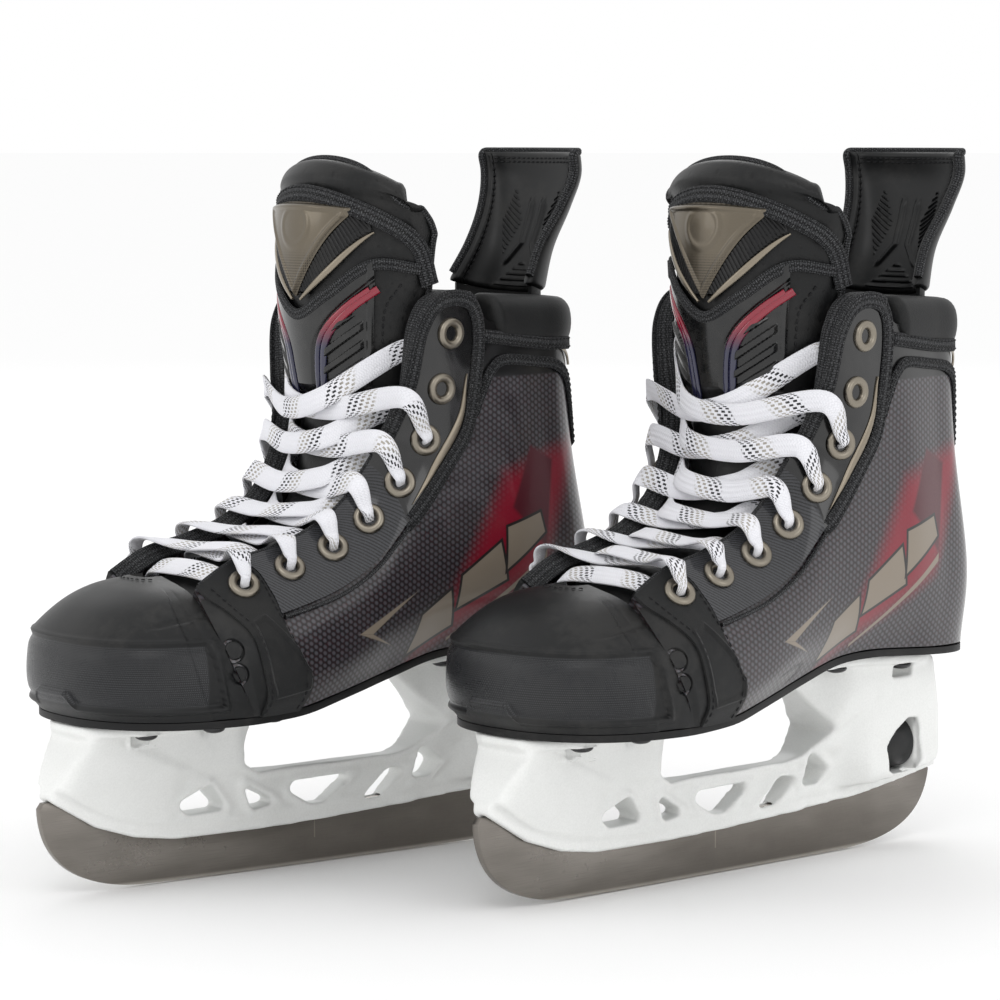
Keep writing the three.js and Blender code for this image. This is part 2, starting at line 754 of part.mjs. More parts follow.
const half = runnerLength / 2;
const releaseDrop = Math.tan(THREE.MathUtils.degToRad(releaseAngle)) * (tabRear - hookY);
const flankSlope = releaseDrop / boltTravel;

/** Lower edge of the holder, where the steel comes out. */
const holderEdge = [
  [-half + 3, 33.5], [-94, 22.8], [-78, 17.6], [-61, 15.2], [-11, 15], [30, 17], [73, 20.1], [95, 23.2],
  [half + 0.6, 26.8],
];

/** Upper outline of the runner from rear to front; grow makes room around it for the holder's slot. */
function runnerTop(grow) {
  const tabFront = tabRear - tabLength;
  return [
    [half, 25.2 + grow], [half - 3, 28.4 + grow], [tabRear + grow, 25.6 + grow],
    [tabRear + grow, tabTop + grow],
    [tabFront - grow, tabTop + grow], [tabFront - grow, 23.5 + grow], [20, 20.5 + grow], [-60, 19.5 + grow],
    [-84, 24.5 + grow], [-84 + grow, 39 + grow], [-97 - grow, 39 + grow], [-97 - grow, 33.5 + grow],
    [-half + 1.6, 33 + grow], [-half, 31 + grow],
  ];
}

function runner() {
  const shape = new THREE.Shape();
  const rise = (y) => ((Math.abs(y) - runnerFlat / 2) ** 2) / (2 * rockerRadius);
  const heelEnd = half - 45;
  const toeEnd = -half + 41;
  shape.moveTo(-runnerFlat / 2, 0);
  shape.lineTo(runnerFlat / 2, 0);
  shape.lineTo(heelEnd, rise(heelEnd));
  shape.bezierCurveTo(half - 22, 1.4, half - 3, 6, half, 25.2);
  runnerTop(0).slice(1).forEach(([y, z]) => shape.lineTo(y, z));
  shape.bezierCurveTo(-half + 0.5, 12, -half + 15, 1.6, toeEnd, rise(toeEnd));
  const steel = sidePlate(shape, -runnerThickness / 2, runnerThickness / 2);
  const notch = shapeOf([
    [tabRear + 1, notchFloor],
    [tabRear - notchDepth, notchFloor],
    [tabRear - notchDepth, notchFloor + slide],
    [tabRear + 1, notchFloor + slide + (notchDepth + 1) * flankSlope],
  ]);
  return cutBy(steel, [sidePlate(notch, -runnerThickness, runnerThickness)]);
}

/** Half width of a flange along the boot: parallel sides with round ends. */
function flangeEdge(from, to, widest) {
  const middle = (from + to) / 2;
  return steps(from, to, 10).map((y) => {
    const share = Math.min(Math.abs(y - middle) / ((to - from) / 2), 0.97);
    return [widest * (1 - share ** 5) ** (1 / 3), y];
  });
}

/** The moulded holder: two posts with flanges, a bridge, and a beam that takes the runner. */
function holder() {
  const front = -half + 2.5;
  const sideOutline = shapeOf([
    ...holderEdge,
    [half - 0.5, 31], [half - 14, soleZ(98) - 2], [20, soleZ(20) - 2], [-22, soleZ(-22) - 1.5],
    [front + 13, standHeight - 2], [front, 36],
  ]);
  const openGap = shapeOf([
    [-30, standHeight - 4], [-36.5, 48], [-35, 40], [-27, 36], [34, 36.6], [41, 38.5], [53, 47.5],
    [30, soleZ(30) - 4], [20, soleZ(20) + 4], [-26, soleZ(-26) + 8],
  ]);
  const trussHoles = [
    [[-59, 26.4], [-49, 32.5], [-41.5, 24.6], [-55, 24.6]],
    [[-33, 31], [-20, 24], [-29.5, 24]],
    [[-10.5, 27.5], [-8, 29.6], [15, 30], [3, 22.8], [-2, 23]],
    [[20.5, 22], [31.5, 30], [38, 29.5], [29, 22.6]],
    [[41, 27.4], [45.5, 37], [53, 31.5], [50, 28.5]],
  ].map(shapeOf);
  const profile = cutBy(sidePlate(sideOutline, -30, 30), [
    sidePlate(openGap, -40, 40),
    ...trussHoles.map((shape) => sidePlate(shape, -40, 40)),
  ]);
  const frontHalf = [[4.2, 10], [6.2, 22], [9, 32], [11.5, 42], [15.5, 53], [19.5, 60], [19.5, 90]];
  const frontView = shapeOf([...frontHalf, ...frontHalf.map(([x, z]) => [-x, z]).reverse()]);
  const frontBody = new THREE.ExtrudeGeometry(frontView, { depth: 2 * runnerLength, bevelEnabled: false });
  frontBody.rotateX(Math.PI / 2);
  frontBody.translate(0, runnerLength, 0);
  const planHalf = [
    [5.5, front - 1], [13, -103], [19.5, -90], [19.5, -42], [11, -32], [7.5, -18], [7.5, 34],
    [11, 44], [16, 57], [19.5, 74], [18, 96], [11, 110], [6, half + 1.2],
  ];
  const planView = shapeOf([...planHalf, ...planHalf.map(([x, y]) => [-x, y]).reverse()]);
  const planBody = new THREE.ExtrudeGeometry(planView, { depth: 100, bevelEnabled: false });
  const posts = profile.intersect(solid(frontBody)).intersect(solid(planBody));
  const under = -gap - flangeThickness;
  const frontFlange = solePlate(flangeEdge(-104, -18, frontFlangeHalf), under, -gap);
  const rearFlange = solePlate(flangeEdge(22, 103, rearFlangeHalf), under, -gap);
  const slot = shapeOf([...runnerTop(slide), [-half - 6, 20], [-half, -5], [half, -5], [half + 6, 20]]);
  const slotHalf = runnerThickness / 2 + gap;
  const places = [...frontRivets, ...rearRivets];
  const spotFaces = places.map(([x, y]) => {
    const top = soleZ(y) - gap - flangeThickness;
    return rod(vec(x, y, top - 18), vec(x, y, top), rivetHead + 3 * boreGap, 6);
  });
  return cutBy(joined([posts, frontFlange, rearFlange]), [
    sidePlate(slot, -slotHalf, slotHalf),
    ...releasePocket(),
    ...spotFaces,
    ...shankHoles(places),
  ]);
}

const boltTip = tabRear - notchDepth + 0.6;
const boltHeadEnd = boltTip + 5.4;
const wheelFront = boltHeadEnd + boltTravel + 1;
const wheelRear = wheelFront + wheelLength;

/** Room for the wheel, the bolt's head and its shaft, open on the outer side only. */
function releasePocket() {
  const tall = wheelRadius + slide;
  const headTop = Math.max(notchFloor + notchDepth * flankSlope, boltZ + boltShaft);
  return [
    block([boltX - tall, wheelFront - slide, boltZ - tall], [40, wheelRear + slide, boltZ + tall]),
    block(
      [boltX - boltHalfWidth - slide, boltTip - 1, notchFloor - slide],
      [boltX + boltHalfWidth + slide, wheelFront, headTop + slide],
    ),
    rod(
      vec(boltX, wheelRear, boltZ),
      vec(boltX, wheelRear + 2 * boltTravel, boltZ),
      boltShaft + boreGap,
    ),
  ];
}

function thumbwheel() {
  const outline = new THREE.Shape();
  const ridge = 0.7;
  for (let i = 0; i < wheelRibs; i += 1) {
    const floor = wheelRadius - ridge;
    for (const [share, radius] of [[0, wheelRadius], [0.5, wheelRadius], [0.6, floor], [0.9, floor]]) {
      const angle = (2 * Math.PI * (i + share)) / wheelRibs;
      const point = [radius * Math.cos(angle), radius * Math.sin(angle)];
      if (i === 0 && share === 0) outline.moveTo(...point);
      else outline.lineTo(...point);
    }
  }
  const bore = new THREE.Path();
  bore.absarc(0, 0, boltShaft + boreGap, 0, 2 * Math.PI, true);
  outline.holes.push(bore);
  const settings = { depth: wheelLength, bevelEnabled: false, curveSegments: 8 };
  const drum = new THREE.ExtrudeGeometry(outline, settings);
  drum.rotateX(Math.PI / 2);
  drum.translate(boltX, wheelRear, boltZ);
  return solid(drum);
}

/** The sliding bolt: a wedge that holds the steel tab up, on a threaded shaft. */
function lockBolt() {
  const rise = (boltHeadEnd - boltTip) * flankSlope;
  const top = Math.min(notchFloor + rise, notchFloor + notchDepth * flankSlope - 0.2);
  const wedge = shapeOf([
    [boltTip, notchFloor + 0.2],
    [boltHeadEnd, notchFloor + 0.2],
    [boltHeadEnd, top],
    [boltTip + (top - notchFloor - 0.2) / flankSlope, top],
  ]);
  const head = sidePlate(wedge, boltX - boltHalfWidth, boltX + boltHalfWidth);
  return head.add(rod(
    vec(boltX, boltHeadEnd - 0.5, boltZ),
    vec(boltX, wheelRear + boltTravel - slide, boltZ),
    boltShaft,
  ));
}

// ---------------------------------------------------------------- the pair

const finish = {
  steel: { color: 0x85807a, roughness: 0.32, metalness: 1 },
  whitePlastic: { color: 0xeff0ee, roughness: 0.42, metalness: 0 },
  blackPlastic: { color: 0x161718, roughness: 0.4, metalness: 0 },
  darkMetal: { color: 0x3a3a3c, roughness: 0.4, metalness: 0.9 },
  composite: { color: 0x1c1d20, roughness: 0.25, metalness: 0.1 },
  quarter: { color: 0x2a2b2f, roughness: 0.3, metalness: 0.1 },
  rubber: { color: 0x1d1e20, roughness: 0.7, metalness: 0 },
  textile: { color: 0x222326, roughness: 0.85, metalness: 0 },
  leather: { color: 0x18191b, roughness: 0.55, metalness: 0 },
  nickel: { color: 0x9d978f, roughness: 0.3, metalness: 1 },
  felt: { color: 0x5b5d60, roughness: 0.95, metalness: 0 },
  badge: { color: 0x8f8577, roughness: 0.25, metalness: 0.8 },
  lace: { color: 0xeeeef3, roughness: 0.85, metalness: 0 },
};

const overlay = forefootOverlay();
const facingPanel = facing();
const strip = eyeletStrip();

/** Every piece of a left skate: name, solid, finish. */
const pieces = [
  ["runner", runner(), finish.steel],
  ["holder", holder(), finish.whitePlastic],
  ["thumbwheel", thumbwheel(), finish.blackPlastic],
  ["lock_bolt", lockBolt(), finish.darkMetal],
  ["front_rivets", rivetSet(frontRivets, frontRivetY, frontRivetX + 3), finish.darkMetal],
  ["rear_rivets", rivetSet(rearRivets, rearRivetY, rearRivetX + 3), finish.darkMetal],
  ["outsole", outsole(), finish.composite],
  ["footbed", footbed(), finish.felt],
  ["boot_shell", bootShell(), finish.quarter],
  ["toe_cap", toeCap(), finish.rubber],
  ["overlay_outer", overlay, finish.textile],
  ["overlay_inner", mirrored(overlay), finish.textile],
  ["facing_outer", facingPanel, finish.leather],
  ["facing_inner", mirrored(facingPanel), finish.leather],
  ["eyelets_outer", strip, finish.nickel],
  ["eyelets_inner", mirrored(strip), finish.nickel],
  ["collar_pad", collarPad(), finish.leather],
  ["tendon_guard", tendonGuard(), finish.leather],
  ["tongue_lower", tongueLower(), finish.leather],
  ["tongue_upper", tongueUpper(), finish.leather],
  ["tongue_badge", tongueBadge(), finish.badge],
  ["tongue_guard", tongueGuard(), finish.blackPlastic],
  ["lace", lace(), finish.lace],
];

/** One skate of the pair: side is 1 for the left foot and -1 for the right. */
function skate(prefix, side) {
  const group = new THREE.Group();
  for (const [name, body, look] of pieces) {
    const geometry = geometryOf(side > 0 ? body : mirrored(body));
    const mesh = new THREE.Mesh(geometry, new THREE.MeshStandardMaterial(look));
    mesh.name = `${prefix}_${name}`;
    group.add(mesh);
  }
  group.position.set((side * stance) / 2, (side * stagger) / 2, 0);
  group.rotation.z = THREE.MathUtils.degToRad(side * toeOut);
  return group;
}

const pair = new THREE.Group();
pair.add(skate("left", 1), skate("right", -1));
const middle = new THREE.Box3().setFromObject(pair, true).getCenter(vec(0, 0, 0));
pair.position.set(-middle.x, -middle.y, 0);

export default pair;
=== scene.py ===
"""A pair of lace-up ice hockey skates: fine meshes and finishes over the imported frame.

Each skate is modelled once, as a left skate in its own frame in millimetres: x = 0 is the plane of
the runner and +x the outer side, y = 0 its middle with the toes along -y, z = 0 the ice. Every
piece is then copied to its two places in the row frame; the right skate is the mirror image.
"""

import logging
import math
from collections.abc import Callable, Sequence
from dataclasses import dataclass, field
from enum import Enum

import bpy
import numpy as np
from mathutils import Matrix, Vector


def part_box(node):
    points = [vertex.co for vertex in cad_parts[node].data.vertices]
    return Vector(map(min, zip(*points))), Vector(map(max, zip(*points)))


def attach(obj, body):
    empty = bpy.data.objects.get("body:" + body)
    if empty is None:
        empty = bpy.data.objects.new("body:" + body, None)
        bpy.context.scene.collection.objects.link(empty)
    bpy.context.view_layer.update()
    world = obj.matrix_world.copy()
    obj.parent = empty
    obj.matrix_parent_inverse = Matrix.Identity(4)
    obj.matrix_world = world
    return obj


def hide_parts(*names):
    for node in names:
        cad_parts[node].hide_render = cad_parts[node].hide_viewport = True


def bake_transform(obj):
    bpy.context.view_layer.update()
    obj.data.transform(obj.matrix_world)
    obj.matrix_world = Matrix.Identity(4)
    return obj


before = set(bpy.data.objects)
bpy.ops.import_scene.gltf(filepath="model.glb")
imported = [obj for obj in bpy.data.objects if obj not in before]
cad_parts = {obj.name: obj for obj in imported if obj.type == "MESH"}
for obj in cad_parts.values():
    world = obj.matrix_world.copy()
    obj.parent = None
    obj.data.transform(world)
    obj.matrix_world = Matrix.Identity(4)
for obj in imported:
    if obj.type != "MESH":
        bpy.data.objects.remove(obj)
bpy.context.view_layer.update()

LOG = logging.getLogger("skates")
Piece = bpy.types.Object
Socket = bpy.types.NodeSocket
Array = np.ndarray
Points = Sequence[Sequence[float]]
Place = Callable[[Array, Array], Array]
Level = float | np.ndarray
Colour = tuple[float, float, float]


class Foot(Enum):
    """The two skates; the value is the side of the row that a skate stands on."""

    LEFT = 1
    RIGHT = -1


class Axis(Enum):
    """Directions that a turned piece can stand along."""

    X = (0.0, math.pi / 2, 0.0)
    Y = (-math.pi / 2, 0.0, 0.0)
    Z = (0.0, 0.0, 0.0)


# ---------------------------------------------------------------- curves and tables


def read_table(table: Points, key: Array) -> Array:
    """Reads a table of [key, value] pairs along a smooth line.

    Args:
        table: Pairs in rising order of key.
        key: Where to read it.

    Returns:
        The values, held level past both ends.
    """
    x, y = np.array(table, float).T
    slope = np.gradient(y, x)
    k = np.clip(key, x[0], x[-1])
    i = np.clip(np.searchsorted(x, k, side="right") - 1, 0, len(x) - 2)
    width = x[i + 1] - x[i]
    t = (k - x[i]) / width
    a = (1 + 2 * t) * (1 - t) ** 2 * y[i] + t * (1 - t) ** 2 * width * slope[i]
    return a + t * t * (3 - 2 * t) * y[i + 1] + t * t * (t - 1) * width * slope[i + 1]


def read_straight(table: Points, key: Array) -> Array:
    """Reads a table of [key, value] pairs along straight lines."""
    x, y = np.array(table, float).T
    return np.interp(key, x, y)


def spline(points: Array, share: Array) -> Array:
    """Points on an even Catmull-Rom curve.

    Args:
        points: The curve's points, (n, 3), or (n, m, 3) for one curve per column.
        share: Where along the curve, 0 to 1, (m,).

    Returns:
        The points, (m, 3).
    """
    last = len(points) - 1
    place = np.clip(share, 0, 1) * last
    i = np.minimum(place.astype(int), last - 1)
    w = (place - i)[:, None]
    ends = np.concatenate([[2 * points[0] - points[1]], points, [2 * points[-1] - points[-2]]])
    pick = [ends[i + k] if points.ndim == 2 else ends[i + k, np.arange(len(i))] for k in range(4)]
    a, b = (pick[2] - pick[0]) / 2, (pick[3] - pick[1]) / 2
    return (
        pick[1] + a * w
        + (3 * (pick[2] - pick[1]) - 2 * a - b) * w**2
        + (2 * (pick[1] - pick[2]) + a + b) * w**3
    )


def ease(low: float, high: float, value: Array) -> Array:
    """0 below low, 1 above high, and an even S between."""
    t = np.clip((value - low) / (high - low), 0, 1)
    return t * t * (3 - 2 * t)


def soft_min(a: Array, b: Array, blend: float) -> Array:
    """The smaller of two values, rounded over where they meet."""
    h = np.clip(0.5 + (b - a) / (2 * blend), 0, 1)
    return b + (a - b) * h - blend * h * (1 - h)


def unit(vectors: Array) -> Array:
    """Vectors made one long."""
    return vectors / np.maximum(np.linalg.norm(vectors, axis=-1, keepdims=True), 1e-9)


def outline_distance(points: Array, outline: Points) -> Array:
    """Signed distance from a closed outline in a plane.

    Args:
        points: Points, (m, 2).
        outline: The outline's corners.

    Returns:
        Distance, positive inside.
    """
    corners = np.array(outline, float)
    best = np.full(len(points), 1e9)
    inside = np.zeros(len(points), bool)
    for a, b in zip(corners, np.roll(corners, -1, axis=0)):
        edge = b - a
        t = np.clip(((points - a) @ edge) / (edge @ edge), 0, 1)
        best = np.minimum(best, np.linalg.norm(points - a - t[:, None] * edge, axis=1))
        crosses = (a[1] > points[:, 1]) != (b[1] > points[:, 1])
        rise = np.where(abs(edge[1]) < 1e-9, 1e-9, edge[1])
        inside ^= crosses & (points[:, 0] < a[0] + (points[:, 1] - a[1]) * edge[0] / rise)
    return np.where(inside, best, -best)


# ---------------------------------------------------------------- making and shaping meshes


def take(*objects: Piece) -> None:
    """Selects only these objects and makes the first one active."""
    bpy.ops.object.select_all(action="DESELECT")
    for obj in objects:
        obj.select_set(True)
    bpy.context.view_layer.objects.active = objects[0]


def finish_with(obj: Piece, kind: str, **values: object) -> Piece:
    """Adds a modifier, sets its values and applies it."""
    take(obj)
    modifier = obj.modifiers.new(kind.title(), kind)
    for name, value in values.items():
        setattr(modifier, name, value)
    bpy.ops.object.modifier_apply(modifier=modifier.name)
    return obj


def in_edit(obj: Piece, *jobs: Callable[[], object]) -> Piece:
    """Runs edit-mode operators on everything in an object."""
    take(obj)
    bpy.ops.object.mode_set(mode="EDIT")
    bpy.ops.mesh.select_all(action="SELECT")
    for job in jobs:
        job()
    bpy.ops.object.mode_set(mode="OBJECT")
    return obj


def face_out(obj: Piece) -> Piece:
    """Turns a closed mesh's faces outwards."""
    return in_edit(obj, lambda: bpy.ops.mesh.normals_make_consistent(inside=False))


def ease_edges(obj: Piece, width: float, degrees: float = 30) -> Piece:
    """Rounds the edges that are sharper than an angle."""
    limit = math.radians(degrees)
    return finish_with(
        obj, "BEVEL", width=width, segments=2, limit_method="ANGLE", angle_limit=limit
    )


def smooth(obj: Piece, degrees: float = 40) -> Piece:
    """Smooth shading, broken at edges sharper than an angle."""
    take(obj)
    bpy.ops.object.shade_smooth_by_angle(angle=math.radians(degrees))
    return obj


def co_of(obj: Piece) -> Array:
    """An object's points, (n, 3)."""
    co = np.empty(len(obj.data.vertices) * 3, np.float32)
    obj.data.vertices.foreach_get("co", co)
    return co.reshape(-1, 3).astype(float)


def set_co(obj: Piece, co: Array) -> None:
    """Moves an object's points."""
    obj.data.vertices.foreach_set("co", np.asarray(co, np.float32).ravel())
    obj.data.update()


def map_side(obj: Piece) -> Piece:
    """Adds a UV map named Side that holds each point's y and z in millimetres."""
    mesh = obj.data
    index = np.empty(len(mesh.loops), np.int32)
    mesh.loops.foreach_get("vertex_index", index)
    layer = mesh.uv_layers.get("Side") or mesh.uv_layers.new(name="Side")
    layer.data.foreach_set("uv", co_of(obj)[index][:, 1:].astype(np.float32).ravel())
    return obj


def from_points(
    name: str, points: Sequence, faces: Sequence = (), edges: Sequence = ()
) -> Piece:
    """An object in the scene, made of plain points, faces and edges."""
    mesh = bpy.data.meshes.new(name)
    mesh.from_pydata(points, edges, faces)
    obj = bpy.data.objects.new(name, mesh)
    bpy.context.scene.collection.objects.link(obj)
    return obj


def lay_grid(
    name: str, columns: int, rows: int, place: Place, span: tuple[float, float] = (1.0, 1.0)
) -> Piece:
    """Lays a flat grid and moves its points onto a surface.

    Args:
        name: The piece's name.
        columns: Steps along u.
        rows: Steps along v.
        place: Gives the surface's points for arrays of u and v from 0 to 1.
        span: The surface's size along u and v in millimetres, for the UV map named Lay.

    Returns:
        The sheet, facing along (u direction) x (v direction).
    """
    bpy.ops.object.select_all(action="DESELECT")
    bpy.ops.mesh.primitive_grid_add(x_subdivisions=columns, y_subdivisions=rows, size=2)
    obj = bpy.context.active_object
    obj.name = name
    flat = (co_of(obj)[:, :2] + 1) / 2
    mesh = obj.data
    index = np.empty(len(mesh.loops), np.int32)
    mesh.loops.foreach_get("vertex_index", index)
    mesh.uv_layers[0].name = "Lay"
    mesh.uv_layers["Lay"].data.foreach_set(
        "uv", (flat[index] * np.array(span)).astype(np.float32).ravel(),
    )
    set_co(obj, place(flat[:, 0], flat[:, 1]))
    return map_side(obj)


def sheet(
    name: str,
    columns: int,
    rows: int,
    place: Place,
    span: tuple[float, float] = (1.0, 1.0),
    thick: float = 1.0,
) -> Piece:
    """A grid laid on a surface and made solid, with its thickness behind the surface."""
    obj = lay_grid(name, columns, rows, place, span)
    return finish_with(obj, "SOLIDIFY", thickness=thick, offset=-1)


def loft_rings(name: str, rings: Array, around: float = 1.0, ends: bool = True) -> Piece:
    """Joins closed rings of points into a tube.

    Args:
        name: The piece's name.
        rings: The rings, (n, k, 3).
        around: The girth that the Lay map gives the way round, in millimetres.
        ends: Whether the two ends are closed.

    Returns:
        The tube, with the UV map Lay (length along, girth around) in millimetres.
    """
    n, k, _ = rings.shape
    along = np.concatenate([[0], np.cumsum(np.linalg.norm(np.diff(rings.mean(1), axis=0), axis=1))])
    i, j = np.meshgrid(np.arange(n - 1), np.arange(k), indexing="ij")
    after = (j + 1) % k
    quads = np.stack(
        [i * k + j, i * k + after, (i + 1) * k + after, (i + 1) * k + j], -1,
    ).reshape(-1, 4)
    faces = quads.tolist()
    lay = np.stack([
        np.stack([along[a], b / k * around], -1)
        for a, b in ((i, j), (i, j + 1), (i + 1, j + 1), (i + 1, j))
    ], 2).reshape(-1, 2)
    if ends:
        faces += [list(range(k))[::-1], [(n - 1) * k + m for m in range(k)]]
        lay = np.concatenate([lay, np.zeros((2 * k, 2))])
    obj = from_points(name, rings.reshape(-1, 3).tolist(), faces)
    layer = obj.data.uv_layers.new(name="Lay")
    layer.data.foreach_set("uv", lay.astype(np.float32).ravel())
    return map_side(face_out(obj))


def cord_rings(
    centre: Array, out: Array, half: Level, rise: Level, sides: int = 12, square: float = 2.6,
) -> Array:
    """Rings of a flat or round cord along a path.

    Args:
        centre: The path, (n, 3).
        out: The direction that the cord's face looks, (n, 3).
        half: Half width, (n,) or one number.
        rise: Half thickness, (n,) or one number.
        sides: Points round the cord.
        square: 2 for an oval section, more for one with fuller corners.

    Returns:
        The rings, (n, sides, 3).
    """
    forward = unit(np.gradient(centre, axis=0))
    across = unit(np.cross(forward, out))
    lift = unit(np.cross(across, forward))
    angle = 2 * np.pi * (np.arange(sides) + 0.5) / sides
    c = np.sign(np.cos(angle)) * np.abs(np.cos(angle)) ** (2 / square)
    s = np.sign(np.sin(angle)) * np.abs(np.sin(angle)) ** (2 / square)
    width = np.broadcast_to(np.asarray(half, float).reshape(-1, 1, 1), (len(centre), 1, 1))
    height = np.broadcast_to(np.asarray(rise, float).reshape(-1, 1, 1), (len(centre), 1, 1))
    return (
        centre[:, None] + across[:, None] * width * c[None, :, None]
        + lift[:, None] * height * s[None, :, None]
    )


def even_steps(path: Array, pitch: float) -> Array:
    """Points a pitch apart along a path, as (share of its length) from 0 to 1."""
    lengths = np.concatenate([[0], np.cumsum(np.linalg.norm(np.diff(path, axis=0), axis=1))])
    count = max(int(lengths[-1] / pitch), 1)
    return np.interp(
        (np.arange(count) + 0.5) / count * lengths[-1], lengths, np.linspace(0, 1, len(path)),
    )


def turned(name: str, profile: Points, steps: int = 32) -> Piece:
    """Spins a profile of [radius, height] points round z into a closed solid."""
    edges = [(i, i + 1) for i in range(len(profile) - 1)]
    obj = from_points(name, [(r, 0, z) for r, z in profile], edges=edges)
    return in_edit(
        obj,
        lambda: bpy.ops.mesh.spin(steps=steps, angle=2 * math.pi, center=(0, 0, 0), axis=(0, 0, 1)),
        lambda: bpy.ops.mesh.select_all(action="SELECT"),
        lambda: bpy.ops.mesh.remove_doubles(threshold=0.001),
        lambda: bpy.ops.mesh.normals_make_consistent(inside=False),
    )


def cylinder(
    name: str,
    radius: float,
    depth: float,
    centre: Sequence[float],
    axis: Axis = Axis.Z,
    sides: int = 32,
) -> Piece:
    """A cylinder at its size and place."""
    bpy.ops.object.select_all(action="DESELECT")
    bpy.ops.mesh.primitive_cylinder_add(
        vertices=sides, radius=radius, depth=depth, location=centre, rotation=axis.value
    )
    obj = bpy.context.active_object
    obj.name = name
    return settle(obj)


def settle(obj: Piece) -> Piece:
    """Moves an object's place and turn into its mesh."""
    take(obj)
    bpy.ops.object.transform_apply(location=True, rotation=True, scale=True)
    return obj


def join(objects: Sequence[Piece]) -> Piece:
    """Joins objects into the first one."""
    take(*objects)
    if len(objects) > 1:
        bpy.ops.object.join()
    return objects[0]


def copy_at(obj: Piece, matrix: Matrix, name: str) -> Piece:
    """A copy of an object with its own mesh, moved by a matrix."""
    made = obj.copy()
    made.data = obj.data.copy()
    made.name = name
    made.data.transform(matrix)
    if matrix.determinant() < 0:
        made.data.flip_normals()
    bpy.context.scene.collection.objects.link(made)
    return made


def discard(obj: Piece) -> None:
    """Removes an object and its mesh."""
    mesh = obj.data
    bpy.data.objects.remove(obj)
    bpy.data.meshes.remove(mesh)


def cut(obj: Piece, tools: Sequence[Piece]) -> Piece:
    """Cuts tools out of a closed solid, one after another, and removes the tools."""
    for tool in tools:
        finish_with(obj, "BOOLEAN", operation="DIFFERENCE", solver="EXACT", object=tool)
        discard(tool)
    return obj


def side_plate(name: str, outline: Points, low: float, high: float) -> Piece:
    """A plate across x from an outline in y and z."""
    obj = from_points(name, [(low, y, z) for y, z in outline], [list(range(len(outline)))])
    in_edit(obj, lambda: bpy.ops.mesh.extrude_region_move(
        TRANSFORM_OT_translate={"value": (high - low, 0, 0)},
    ))
    return face_out(obj)


def rectangle(left: float, right: float, low: float, high: float) -> list[tuple[float, float]]:
    """A rectangle's corners."""
    return [(left, low), (right, low), (right, high), (left, high)]


def bezier(
    a: Sequence[float], b: Sequence[float], c: Sequence[float], d: Sequence[float], steps: int,
) -> list:
    """Points of a cubic curve after its first point, as [y, z] pairs."""
    t = (np.arange(1, steps + 1) / steps)[:, None]
    p = [np.array(q, float) for q in (a, b, c, d)]
    return (
        (1 - t) ** 3 * p[0] + 3 * (1 - t) ** 2 * t * p[1] + 3 * (1 - t) * t**2 * p[2] + t**3 * p[3]
    ).tolist()


# ---------------------------------------------------------------- finishes


def ink(code: str) -> Colour:
    """A colour written as six hex digits, as linear light."""
    parts = [int(code[i:i + 2], 16) / 255 for i in (0, 2, 4)]
    return tuple(c / 12.92 if c <= 0.04045 else ((c + 0.055) / 1.055) ** 2.4 for c in parts)


Value = float | Socket
Look = tuple[Value, Value, Value]  # colour, roughness and height


